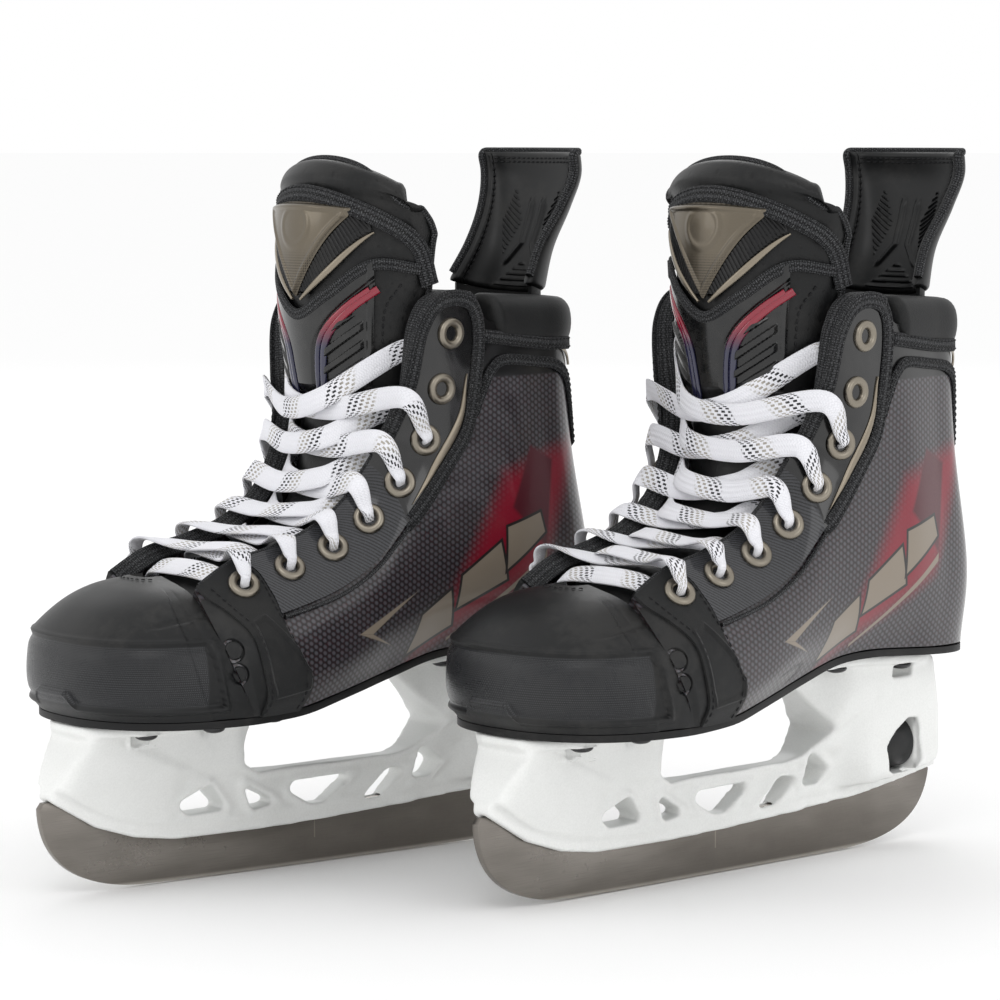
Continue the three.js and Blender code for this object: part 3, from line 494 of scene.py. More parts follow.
@dataclass
class Wires:
    """Short words for placing and joining shader nodes in one tree."""

    tree: bpy.types.NodeTree

    def node(self, kind: str, settings: dict | None = None, **inputs: object) -> bpy.types.Node:
        """A node with settings, and inputs given by name with spaces as underscores."""
        made = self.tree.nodes.new(f"ShaderNode{kind}")
        for key, value in (settings or {}).items():
            setattr(made, key, value)
        for key, value in inputs.items():
            self.feed(made.inputs[key.replace("_", " ")], value)
        return made

    def feed(self, socket: Socket, value: object) -> None:
        """Joins a socket to another one, or sets it to a plain value."""
        if isinstance(value, Socket):
            self.tree.links.new(value, socket)
        elif isinstance(value, tuple) and socket.type == "RGBA":
            socket.default_value = (*value, 1.0)
        else:
            socket.default_value = value

    def math(self, operation: str, *values: Value, clamp: bool = False) -> Socket:
        """A Math node on one to three values."""
        made = self.node("Math", {"operation": operation, "use_clamp": clamp})
        for socket, value in zip(made.inputs, values):
            self.feed(socket, value)
        return made.outputs[0]

    def times(self, a: Value, b: Value) -> Socket:
        """The product of two values."""
        return self.math("MULTIPLY", a, b)

    def split(self, vector: Value) -> bpy.types.Node:
        """A vector's three numbers."""
        return self.node("SeparateXYZ", Vector=vector)

    def vector(self, operation: str, *values: object) -> bpy.types.Node:
        """A Vector Math node."""
        made = self.node("VectorMath", {"operation": operation})
        for socket, value in zip(made.inputs, values):
            self.feed(socket, value)
        return made

    def ramp(
        self, value: Value, low: float, high: float, start: float = 0, end: float = 1,
    ) -> Socket:
        """A value mapped smoothly from low..high to start..end."""
        made = self.node("MapRange", {"interpolation_type": "SMOOTHSTEP"}, Value=value)
        for key, number in (
            ("From Min", low), ("From Max", high), ("To Min", start), ("To Max", end),
        ):
            made.inputs[key].default_value = number
        return made.outputs[0]

    def blend(self, share: Value, a: object, b: object) -> Socket:
        """A mix of two colours."""
        made = self.node("Mix", {"data_type": "RGBA"})
        self.feed(made.inputs[0], share)
        self.feed(made.inputs[6], a)
        self.feed(made.inputs[7], b)
        return made.outputs[2]

    def mix(self, share: Value, a: Value, b: Value) -> Socket:
        """A mix of two numbers."""
        made = self.node("Mix", {"data_type": "FLOAT"})
        for socket, value in zip((made.inputs[0], made.inputs[2], made.inputs[3]), (share, a, b)):
            self.feed(socket, value)
        return made.outputs[0]

    def uv(self, name: str) -> Socket:
        """A piece's own UV map."""
        return self.node("UVMap", {"uv_map": name}).outputs[0]

    def at(self) -> Socket:
        """Object coordinates, in metres."""
        return self.node("TexCoord").outputs["Object"]

    def noise(self, vector: Value, scale: float, detail: float = 3) -> Socket:
        """Soft noise from 0 to 1."""
        return self.node("TexNoise", Vector=vector, Scale=scale, Detail=detail).outputs[0]

    def use(self, effect: "Effect", **inputs: object) -> bpy.types.Node:
        """Places a shared effect with its own values."""
        made = self.node("Group", {"node_tree": effect.tree()})
        for key, value in inputs.items():
            self.feed(made.inputs[key], value)
        return made


@dataclass
class Effect:
    """A shader node group that several finishes share."""

    name: str
    inputs: dict[str, str]
    outputs: tuple[str, ...]
    build: Callable[[Wires, dict, Callable[[str, Socket], object]], None]

    def tree(self) -> bpy.types.NodeTree:
        """The group, built the first time it is asked for."""
        found = bpy.data.node_groups.get(self.name)
        if found:
            return found
        made = bpy.data.node_groups.new(self.name, "ShaderNodeTree")
        for key, kind in self.inputs.items():
            made.interface.new_socket(key, in_out="INPUT", socket_type=f"NodeSocket{kind}")
        for key in self.outputs:
            made.interface.new_socket(key, in_out="OUTPUT", socket_type="NodeSocketFloat")
        start = made.nodes.new("NodeGroupInput")
        end = made.nodes.new("NodeGroupOutput")
        self.build(
            Wires(made),
            {key: start.outputs[key] for key in self.inputs},
            lambda key, value: made.links.new(value, end.inputs[key]),
        )
        return made


def build_grain(w: Wires, given: dict, put: Callable) -> None:
    """Fine noise and pebbles; Pebble picks between them."""
    fine = w.node("TexNoise", Vector=given["Vector"], Scale=given["Scale"], Detail=4.0).outputs[0]
    cells = w.node("TexVoronoi", Vector=given["Vector"], Scale=given["Scale"]).outputs["Distance"]
    put("Height", w.mix(given["Pebble"], fine, w.ramp(cells, 0.0, 0.7, 1, 0)))


def build_wear(w: Wires, given: dict, put: Callable) -> None:
    """Patches of handling marks and dust in broken, uneven areas."""
    broad = w.node(
        "TexNoise", Vector=given["Vector"], Scale=given["Scale"], Detail=6.0, Roughness=0.62,
    ).outputs[0]
    fine = w.node(
        "TexNoise", Vector=given["Vector"], Scale=w.times(given["Scale"], 9.0), Detail=3.0,
    )
    spread = w.ramp(w.math("MULTIPLY_ADD", fine.outputs[0], 0.25, w.times(broad, 0.75)), 0.46, 0.62)
    put("Mask", w.times(spread, given["Amount"]))


def build_weave(w: Wires, given: dict, put: Callable) -> None:
    """A plain weave: threads along and across take turns on top."""
    place = w.split(given["Vector"])
    u, v = (w.math("DIVIDE", place.outputs[i], given["Pitch"]) for i in (0, 1))
    waves = [w.math("ABSOLUTE", w.math("SINE", w.times(t, math.pi))) for t in (u, v)]
    turn = w.math("MODULO", w.math("ADD", w.math("FLOOR", u), w.math("FLOOR", v)), 2.0)
    turn = w.math("ABSOLUTE", turn)
    put("Height", w.mix(turn, waves[0], waves[1]))
    put("Turn", turn)


def build_dots(w: Wires, given: dict, put: Callable) -> None:
    """Round dots in staggered rows; Radius is a share of the pitch."""
    place = w.split(given["Vector"])
    v = w.math("DIVIDE", place.outputs[1], given["Pitch"])
    v = w.times(v, 1.3)
    shift = w.times(w.math("ABSOLUTE", w.math("MODULO", w.math("FLOOR", v), 2.0)), 0.5)
    u = w.math("ADD", w.math("DIVIDE", place.outputs[0], given["Pitch"]), shift)
    du, dv = (w.math("SUBTRACT", w.math("FRACT", t), 0.5) for t in (u, v))
    far = w.math("SQRT", w.math("ADD", w.times(du, du), w.times(dv, dv)))
    edge = w.math("DIVIDE", w.math("SUBTRACT", given["Radius"], far), given["Soft"])
    put("Mask", w.math("ADD", edge, 0.5, clamp=True))


def build_panel(w: Wires, given: dict, put: Callable) -> None:
    """A printed panel with four straight sides, each given as a line in the Side map."""
    flat = w.split(given["Vector"])
    place = w.node("CombineXYZ", X=flat.outputs[0], Y=flat.outputs[1], Z=1.0).outputs[0]
    sides = [
        w.vector("DOT_PRODUCT", place, given[f"Side {i}"]).outputs["Value"] for i in range(1, 5)
    ]
    near = w.math(
        "MINIMUM", w.math("MINIMUM", sides[0], sides[1]), w.math("MINIMUM", sides[2], sides[3]),
    )
    put("Distance", near)
    put("Mask", w.math("ADD", w.math("DIVIDE", near, given["Soft"]), 0.5, clamp=True))


GRAIN = Effect(
    "grain", {"Vector": "Vector", "Scale": "Float", "Pebble": "Float"}, ("Height",), build_grain,
)
WEAR = Effect(
    "wear", {"Vector": "Vector", "Scale": "Float", "Amount": "Float"}, ("Mask",), build_wear,
)
WEAVE = Effect("weave", {"Vector": "Vector", "Pitch": "Float"}, ("Height", "Turn"), build_weave)
DOTS = Effect(
    "dots", {"Vector": "Vector", "Pitch": "Float", "Radius": "Float", "Soft": "Float"}, ("Mask",),
    build_dots
)
PANEL = Effect(
    "printed_panel",
    {"Vector": "Vector", "Soft": "Float", **{f"Side {i}": "Vector" for i in range(1, 5)}},
    ("Mask", "Distance"),
    build_panel,
)


def panel_sides(corners: Points) -> dict[str, tuple[float, float, float]]:
    """The lines of a convex panel's sides, for the printed_panel effect; a triangle repeats one."""
    points = np.array(corners, float)
    middle = points.mean(0)
    lines = {}
    for i, (a, b) in enumerate(zip(points, np.roll(points, -1, axis=0))):
        normal = np.array([a[1] - b[1], b[0] - a[0]]) / np.linalg.norm(b - a)
        if (middle - a) @ normal < 0:
            normal = -normal
        lines[f"Side {i + 1}"] = (float(normal[0]), float(normal[1]), float(-a @ normal))
    lines.setdefault("Side 4", lines["Side 1"])
    return lines


@dataclass(frozen=True)
class Finish:
    """A finish: plain values, a grain, and handling marks. Others add to its dress method."""

    name: str
    colour: str
    roughness: float
    metallic: float = 0.0
    coat: float = 0.0
    sheen: float = 0.0
    gleam: float = 0.32
    grain: float = 2500.0
    pebble: float = 0.0
    bump: float = 0.1
    depth: float = 0.00008
    wear: float = 0.35
    wear_colour: str = "6d6a66"

    def dress(self, w: Wires, colour: Value, roughness: Value, height: Value) -> Look:
        """Adds what is special to a finish; here nothing."""
        return colour, roughness, height

    def material(self) -> bpy.types.Material:
        """The finished material, made the first time it is asked for."""
        name = f"fine_{self.name}"
        found = bpy.data.materials.get(name)
        if found:
            return found
        made = bpy.data.materials.new(name)
        made.use_nodes = True
        w = Wires(made.node_tree)
        shader = made.node_tree.nodes["Principled BSDF"]
        place = w.at()
        grain = w.use(GRAIN, Vector=place, Scale=self.grain, Pebble=self.pebble).outputs["Height"]
        marks = w.use(WEAR, Vector=place, Scale=38.0, Amount=self.wear).outputs["Mask"]
        base = ink(self.colour)
        shade = w.blend(w.times(marks, 0.16), base, ink(self.wear_colour))
        shade = w.blend(w.ramp(grain, 0.3, 0.7, 0.12, 0), shade, tuple(c * 0.55 for c in base))
        rough = w.math(
            "ADD",
            w.math("MULTIPLY_ADD", marks, 0.12, self.roughness),
            w.ramp(grain, 0.3, 0.7, -0.02, 0.03),
        )
        colour, roughness, height = self.dress(w, shade, rough, grain)
        for key, value in (("Base Color", colour), ("Roughness", roughness)):
            w.feed(shader.inputs[key], value)
        shader.inputs["Metallic"].default_value = self.metallic
        shader.inputs["Coat Weight"].default_value = self.coat
        shader.inputs["Coat Roughness"].default_value = 0.08
        shader.inputs["Sheen Weight"].default_value = self.sheen
        shader.inputs["Specular IOR Level"].default_value = self.gleam
        bump = w.node("Bump", Height=height, Strength=self.bump, Distance=self.depth)
        w.feed(shader.inputs["Normal"], bump.outputs[0])
        return made


@dataclass(frozen=True)
class Woven(Finish):
    """A woven or braided textile; the weave follows the Lay map."""

    pitch: float = 0.7
    # The pale grey of the painted highlight on the raised threads.
    light: str = "77787a"
    thread: float = 0.5

    def dress(self, w: Wires, colour: Value, roughness: Value, height: Value) -> Look:
        """Threads over and under, with a painted highlight on the raised threads and a few paler
        fibres on top.
        """
        weave = w.use(WEAVE, Vector=w.uv("Lay"), Pitch=self.pitch)
        high = w.ramp(weave.outputs["Height"], 0.35, 1.0)
        fibres = w.ramp(w.noise(w.at(), 4200.0, 2), 0.5, 0.72)
        # Painted highlight: the raised threads are tinted paler, as if catching the light.
        shade = w.blend(w.times(high, self.thread), colour, ink(self.light))
        shade = w.blend(w.times(w.times(fibres, high), 0.35), shade, ink("b9babc"))
        return shade, roughness, w.math("MULTIPLY_ADD", height, 0.25, weave.outputs["Height"])


# ---------------------------------------------------------------- form of the boot


@dataclass
class BootForm:
    """The outside of the boot: s counts stations round it, v goes from sole to top line."""

    stand: float = 60.0
    seat: float = 3.1
    roundness: float = 2.2
    heel_angles: tuple[float, ...] = (30.0, 60.0)
    rise: tuple = (
        (-75, 0), (-45, 0.3), (-30, 1.4), (-15, 4), (0, 6.8), (15, 10), (28, 13), (40, 14.7),
        (52, 15), (75, 13.8), (95, 12.6), (120, 12),
    )
    # Each station: sole edge (x, y), then low side, high side and top line (x, y, height).
    stations: tuple = (
        ((44.5, -56), (47, -61, 13), (43.5, -67, 28), (27, -68, 46)),
        ((43.5, -46), (47, -49, 14), (44, -51, 33), (26.5, -53, 54)),
        ((42, -33), (46, -33, 16), (43.5, -33, 37), (26, -36, 58)),
        ((38.5, -18), (44, -17, 19), (42.5, -16, 42), (26, -19.5, 63.5)),
        ((35, -4), (42, -3, 24), (41.5, -1, 50), (27, -6, 72.5)),
        ((32, 9), (40.5, 9, 30), (41, 10, 61), (29, 3.5, 85.5)),
        ((30, 22), (39.5, 22, 36), (40.5, 21, 74), (33.5, 10.5, 100)),
        ((28.5, 34), (39, 33, 41), (40.5, 30, 86), (39, 13.5, 116)),
        ((28, 46), (38.5, 45, 44), (40, 40, 93), (42, 16, 136)),
        ((27.5, 57), (38, 56, 46), (39.5, 49, 97), (42.5, 25, 146)),
        ((27, 70), (37, 69, 47), (38.5, 62, 96), (41, 46, 146)),
        ((26.5, 88), (33.5, 86, 46), (34.5, 79, 94), (35.5, 74, 144.5)),
    )
    heel: tuple = ((0, 120.5), (0, 117, 45), (0, 106.5, 93), (0, 103, 143))
    levels: list[Array] = field(default_factory=list)

    def __post_init__(self) -> None:
        """Works out the four level curves."""
        self.levels = [self.level(k) for k in range(4)]

    @property
    def middle(self) -> int:
        """The station at the middle of the heel."""
        return len(self.stations) + len(self.heel_angles)

    @property
    def last(self) -> int:
        """The last station, at the toe cap's joint on the inner side."""
        return 2 * self.middle

    def sole(self, y: Array) -> Array:
        """Height of the underside of the sole."""
        return self.stand + read_table(self.rise, y)

    def placed(self, spot: Sequence[float]) -> Array:
        """A station's place as a point."""
        if len(spot) == 2:
            z = float(self.sole(np.array(float(spot[1])))) + self.seat
        else:
            z = self.stand + spot[2]
        return np.array([spot[0], spot[1], z], float)

    def level(self, k: int) -> Array:
        """One level's points, all the way round from joint to joint."""
        side = [self.placed(station[k]) for station in self.stations]
        start, back = side[-1], self.placed(self.heel[k])
        for degrees in self.heel_angles:
            angle = math.radians(degrees)
            forward = math.sin(angle) ** (2 / self.roundness)
            point = start + (back - start) * forward
            point[0] = start[0] * math.cos(angle) ** (2 / self.roundness)
            side.append(point)
        other = [p * np.array([-1, 1, 1]) for p in reversed(side)]
        return np.array([*side, back, *other])

    def point(self, s: Array, v: Array) -> Array:
        """Points on the form."""
        s, v = np.broadcast_arrays(np.asarray(s, float), np.asarray(v, float))
        column = np.stack([spline(level, s.ravel() / self.last) for level in self.levels])
        return spline(column, v.ravel())

    def out(self, s: Array, v: Array) -> Array:
        """Outward directions on the form."""
        s, v = np.broadcast_arrays(np.asarray(s, float), np.asarray(v, float))
        step = 0.02
        ahead, behind = np.minimum(s + step, self.last), np.maximum(s - step, 0)
        along = self.point(ahead, v) - self.point(behind, v)
        up = self.point(s, np.minimum(v + step, 1)) - self.point(s, np.maximum(v - step, 0))
        return unit(np.cross(along, up))

    def skin(self, s: Array, v: Array, offset: Level = 0.0) -> Array:
        """Points at a distance outside the form."""
        return self.point(s, v) + self.out(s, v) * np.asarray(offset, float).reshape(-1, 1)


FORM = BootForm()
EYELETS = [
    (1 + 1.12 * k, v) for k, v in enumerate((0.88, 0.88, 0.87, 0.85, 0.82, 0.81, 0.84, 0.91))
]
LACED = 6
SHELL_WALL = 4.2
COLLAR_START = 9.8
FACING_LOW = ((1.2, 0.70), (4, 0.70), (5.5, 0.68), (7, 0.66), (8.4, 0.72), (9.3, 0.82), (9.6, 0.86))


def upright(s: float, v: float, offset: float = 0.0) -> Matrix:
    """The place and tilt of something that stands on the form, with z outwards."""
    tilt = Vector(FORM.out(s, v)[0]).to_track_quat("Z", "Y").to_matrix().to_4x4()
    return Matrix.Translation(FORM.skin(s, v, offset)[0]) @ tilt


def along_form(route: Points, count: int, offset: float) -> tuple[Array, Array]:
    """A path on the form.

    Args:
        route: The path's (s, v) places.
        count: Points wanted.
        offset: Height over the form in millimetres.

    Returns:
        The path's points and its outward directions.
    """
    places = np.array([(s, v, 0) for s, v in route], float)
    at = spline(places, np.linspace(0, 1, count))
    v = np.clip(at[:, 1], 0, 1)
    return FORM.skin(at[:, 0], v, np.full(count, offset)), FORM.out(at[:, 0], v)


def ribbon(
    name: str, path: Array, out: Array, width: Level, rise: float, square: float = 2.6,
) -> Piece:
    """A crowned band or a cord laid along a path; width is one number or one for each point."""
    rings = cord_rings(path, out, np.asarray(width) / 2, rise, 12, square)
    return smooth(loft_rings(name, rings, 2 * float(np.max(width))), 60)


def stitches(
    name: str,
    path: Array,
    out: Array,
    pitch: float = 2.6,
    length: float = 1.8,
    thick: float = 0.28,
) -> Piece:
    """A row of short thread stitches along a path, in one mesh.

    Args:
        name: The piece's name.
        path: The seam, (n, 3).
        out: The outward direction at each of its points.
        pitch: From stitch to stitch.
        length: Of one stitch.
        thick: Radius of the thread.

    Returns:
        The row.
    """
    share = even_steps(path, pitch)
    where = share * (len(path) - 1)
    i = np.minimum(where.astype(int), len(path) - 2)
    w = (where - i)[:, None]
    centre = path[i] * (1 - w) + path[i + 1] * w
    forward = unit(path[i + 1] - path[i])
    lift = unit(out[i])
    across = unit(np.cross(forward, lift))
    slots = (
        (-0.5, -0.5, 0.3), (-0.36, 0.25, 0.95), (0, 0.5, 1.1), (0.36, 0.25, 0.95), (0.5, -0.5, 0.3),
    )
    sides = 5
    angle = 2 * np.pi * np.arange(sides) / sides
    rings = []
    for step, height, girth in slots:
        hub = centre + forward * length * step + lift * thick * height
        rings.append(
            hub[:, None]
            + across[:, None] * (np.cos(angle) * thick * girth)[None, :, None]
            + lift[:, None] * (np.sin(angle) * thick * girth * 0.8)[None, :, None]
        )
    points = np.stack(rings, 1).reshape(-1, 3)
    each = len(slots) * sides
    faces = []
    for r in range(len(slots) - 1):
        for k in range(sides):
            m = (k + 1) % sides
            faces.append((r * sides + k, r * sides + m, (r + 1) * sides + m, (r + 1) * sides + k))
    ends = [tuple(range(sides))[::-1], tuple((len(slots) - 1) * sides + k for k in range(sides))]
    every = range(len(centre))
    obj = from_points(
        name, points.tolist(),
        [tuple(n * each + q for q in face) for n in every for face in (*faces, *ends)]
    )
    return smooth(face_out(obj), 180)


# ---------------------------------------------------------------- delivering the pieces


@dataclass
class Pair:
    """Where the two skates stand, and the pieces that were made for them."""

    toe_out: float = 2.6
    count: int = 0

    def matrix(self, foot: Foot) -> Matrix:
        """From a left skate's own frame in millimetres to the row frame in metres."""
        low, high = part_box(f"{foot.name.lower()}_runner")
        middle = (low + high) / 2
        turn = Matrix.Rotation(math.radians(self.toe_out) * foot.value, 4, "Z")
        flip = Matrix.Diagonal((0.001 * foot.value, 0.001, 0.001, 1))
        return Matrix.Translation((middle.x, middle.y, 0)) @ turn @ flip

    def spot(self, foot: Foot, point: Sequence[float]) -> Vector:
        """A point of the skate's own frame in the row frame."""
        return self.matrix(foot) @ Vector(point)

    def add(
        self,
        obj: Piece,
        body: str,
        finish: Finish | Sequence[Finish],
        stands_for: Sequence[str] = (),
        slot: str | None = None,
        fill: float | None = None,
        bend: tuple | None = None,
    ) -> None:
        """Dresses a piece and copies it to both skates.

        Args:
            obj: The piece, in the left skate's frame in millimetres; it is removed.
            body: The body it moves with, without left_ or right_.
            finish: Its finish, or one for each of its material slots.
            stands_for: The nodes that it replaces.
            slot: The record's material slot; not used.
            fill: How full a padded piece is; not used.
            bend: For a piece that spans two bodies: the other body, start and end. Only whether it is
                given is read; such a piece is left in the row frame with no body, and it does not
                bend.
        """
        finishes = [finish] if isinstance(finish, Finish) else list(finish)
        obj.data.materials.clear()
        for one in finishes:
            obj.data.materials.append(one.material())
        name = obj.name
        for foot in Foot:
            prefix = foot.name.lower()
            made = copy_at(obj, self.matrix(foot), f"{prefix}.{name}")
            if bend:
                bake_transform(made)
            else:
                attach(made, f"{prefix}_{body}")
            if stands_for:
                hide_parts(*[f"{prefix}_{node}" for node in stands_for])
            self.count += 1
        LOG.info("%s: %d faces", name, len(obj.data.polygons))
        discard(obj)


# ---------------------------------------------------------------- holder, runner and quick release


@dataclass(frozen=True)
class Steel(Finish):
    """Ground steel: fine lines, smoky stains, a bright ground edge and a balance mark."""

    mark_y: float = 0.0

    def dress(self, w: Wires, colour: Value, roughness: Value, height: Value) -> Look:
        """Adds stains, the grinding lines, the bright edge and the mark."""
        side = w.split(w.uv("Side"))
        y, z = side.outputs[0], side.outputs[1]
        stretched = w.node("Mapping", Vector=w.uv("Side"), Scale=(0.02, 1.4, 1.0)).outputs[0]
        lines = w.noise(stretched, 4.0, 5)
        cloud = w.noise(
            w.node("Mapping", Vector=w.uv("Side"), Scale=(0.012, 0.03, 1.0)).outputs[0], 1.0, 3,
        )
        shade = w.blend(w.ramp(cloud, 0.35, 0.7), colour, ink("8f8a84"))
        shade = w.blend(w.ramp(lines, 0.42, 0.7, 0, 0.22), shade, ink("5d5955"))
        far = w.math("MAXIMUM", w.math("SUBTRACT", w.math("ABSOLUTE", y), 30.0), 0.0)
        edge = w.math("SUBTRACT", z, w.math("DIVIDE", w.times(far, far), 5400.0))
        shade = w.blend(w.ramp(edge, 0.4, 1.6, 0.7, 0), shade, ink("c9c4bc"))
        near = w.math("ABSOLUTE", w.math("SUBTRACT", y, self.mark_y))
        tall = w.times(w.ramp(z, 8.8, 9.2), w.ramp(z, 15.0, 15.4, 1, 0))
        mark = w.times(w.ramp(near, 0.15, 0.35, 0.5, 0), tall)
        shade = w.blend(mark, shade, ink("a8a197"))
        rough = w.math("ADD", roughness, w.ramp(cloud, 0.3, 0.7, 0.1, -0.04))
        return shade, rough, w.math("ADD", lines, mark)


@dataclass(frozen=True)
class Moulded(Finish):
    """Moulded plastic with a soft mottle, and a painted shade that greys its low upward faces under
    the sole.
    """

    # The grey of the painted shade on the low upward faces.
    painted_shade: str = "c9cccb"

    def dress(self, w: Wires, colour: Value, roughness: Value, height: Value) -> Look:
        """Adds the mottle and the painted shade on the upward faces low under the sole."""
        up = w.split(w.node("NewGeometry").outputs["Normal"]).outputs[2]
        low = w.split(w.at()).outputs[2]
        # Painted shade: faces that look up and lie below about 52 mm, under the sole, are tinted grey.
        painted_shade_mask = w.times(w.ramp(up, 0.6, 0.95), w.ramp(low, 0.050, 0.054, 1, 0))
        shade = w.blend(w.times(painted_shade_mask, 0.55), colour, ink(self.painted_shade))
        mottle = w.noise(w.at(), 90.0, 4)
        return w.blend(w.ramp(mottle, 0.4, 0.7, 0, 0.10), shade, ink("d9dad7")), roughness, height


@dataclass(frozen=True)
class Undercarriage:
    """Runner, holder, rivets, thumbwheel: everything below the sole."""

    half: float = 115.0
    rocker: float = 2700.0
    flat: float = 60.0
    steel: float = 3.0
    clearance: float = 0.5
    flange: float = 3.6
    gap: float = 0.3
    rivets: tuple = ((17.5, -82.0), (17.5, -54.0), (17.5, -29.0), (16.0, 47.0), (16.0, 82.0))
    wheel: tuple[float, float, float] = (2.5, 86.75, 38.0)
    wheel_radius: float = 9.5
    wheel_length: float = 15.5
    ribs: int = 14
    rivet_head: float = 5.4  # radius of a spot face under the flange
    rivet_shank: float = 2.9
    voxel: float = 1.0
    fine_voxel: float = 0.66
    window: tuple = (
        (78.2, 29.5), (77.6, 38.5), (82.5, 44), (89, 48.2), (94, 48), (95.6, 44), (96, 32),
        (93.5, 28.8), (82, 28),
    )
    edge: tuple = (
        (-112, 33.5), (-94, 22.8), (-78, 17.6), (-61, 15.2), (-11, 15), (30, 17), (73, 20.1),
        (95, 23.2), (115.6, 26.8),
    )
    gaps: tuple = (
        (
            (-30, 57), (-36.5, 48), (-35, 40), (-27, 36), (34, 36.6), (41, 38.5), (53, 47.5),
            (30, 70), (20, 71), (-26, 70),
        ),
        ((-62, 28), (-48.6, 34), (-40, 24), (-57, 23.6)),
        ((-34.5, 33), (-17, 24), (-29.5, 22.6)),
        ((-12.5, 27.5), (-10, 30.8), (17, 31.4), (3, 21.8), (-3, 22)),
        ((19, 20.8), (31.5, 31.4), (40, 31), (29, 21.4)),
        ((41, 27), (44.5, 39.5), (55, 32.2), (50, 27)),
    )

    def runner_top(self, grow: float) -> list[tuple[float, float]]:
        """The runner's upper outline from rear to front, made larger by grow for its slot."""
        h, g = self.half, grow
        return [
            (h, 25.2 + g), (h - 3, 28.4 + g), (72 + g, 25.6 + g), (72 + g, 45 + g),
            (60 - g, 45 + g), (60 - g, 23.5 + g),
            (20, 20.5 + g), (-60, 19.5 + g), (-84, 24.5 + g), (-84 + g, 39 + g), (-97 - g, 39 + g),
            (-97 - g, 33.5 + g),
            (-h + 1.6, 33 + g), (-h, 31 + g),
        ]

    def rocker_rise(self, y: float) -> float:
        """How far the steel's edge is off the ice: none along the flat middle, then an arc."""
        past = max(abs(y) - self.flat / 2, 0.0)
        return past**2 / (2 * self.rocker)

    def runner(self) -> Piece:
        """The steel, with its rocker, rounded heel and toe, and eased edges."""
        h = self.half
        heel, toe = h - 45, -h + 41
        low = [(y, self.rocker_rise(y)) for y in np.linspace(toe, heel, 40)]
        outline = [
            *low,
            *bezier((heel, self.rocker_rise(heel)), (h - 22, 1.4), (h - 3, 6), (h, 25.2), 24),
            *self.runner_top(0)[1:],
            *bezier((-h, 31), (-h + 0.5, 12), (-h + 15, 1.6), (toe, self.rocker_rise(toe)), 24)[:-1],
        ]
        obj = side_plate("runner", outline, -self.steel / 2, self.steel / 2)
        ease_edges(obj, 0.22, 50)
        return map_side(smooth(obj, 30))

    def half_width(self, y: Array, z: Array) -> Array:
        """Half the holder's thickness at a place on its side."""
        front = read_table(
            ((10, 4.4), (22, 5.4), (32, 7.4), (42, 10.5), (50, 13), (56, 15), (60, 16.5), (80, 17)),
            z,
        )
        rear = read_table(
            ((10, 4.4), (20, 5.6), (26, 12.8), (42, 14), (56, 15.5), (60, 16.5), (80, 17)), z,
        )
        front += (rear - front) * ease(58, 70, y)
        plan = read_table(
            (
                (-114, 4.5), (-110, 8), (-103, 13), (-90, 18.5), (-66, 20), (-46, 19), (-34, 9.5),
                (-20, 4.6), (10, 4.2), (34, 4.6), (44, 7.5), (57, 16), (74, 19), (96, 17.5),
                (110, 10.5), (116, 5.5),
            ),
            y,
        )
        width = soft_min(front, plan, 2.0)
        crease = (y + 98) * 0.43 + (z - 57)
        hollow = ease(-0.6, 1.4, crease) * ease(-100, -88, y)
        width -= hollow * ease(-38, -52, y) * 1.3
        rear_crease = (z - 38) - (y - 42) * 0.75
        rear_hollow = ease(0.8, -1.2, rear_crease) * ease(40, 46, y)
        width -= rear_hollow * ease(72, 60, y)
        over_edge = z - read_table(self.edge, y)
        lip = ease(4.6, 5.4, over_edge)
        cove = ease(1.9, 2.5, over_edge) * (1 - lip)
        thick = 4.9 - 0.9 * cove + (width - 4.9) * lip
        return np.where(width > 4.6, thick, width - 0.5 * cove)

    def recess(self, y: Array, z: Array) -> Array:
        """How deep the webs of the truss lie behind their thick rims."""
        flat = np.stack([y, z], 1)
        near = np.full(len(y), 1e9)
        for hole in self.gaps:
            near = np.minimum(near, -outline_distance(flat, hole))
        band = ease(-66, -58, y) * ease(60, 54, y) * ease(41, 37, z)
        over_edge = z - read_table(self.edge, y)
        return 1.3 * ease(1.5, 2.3, near) * ease(6.4, 7.6, over_edge) * band

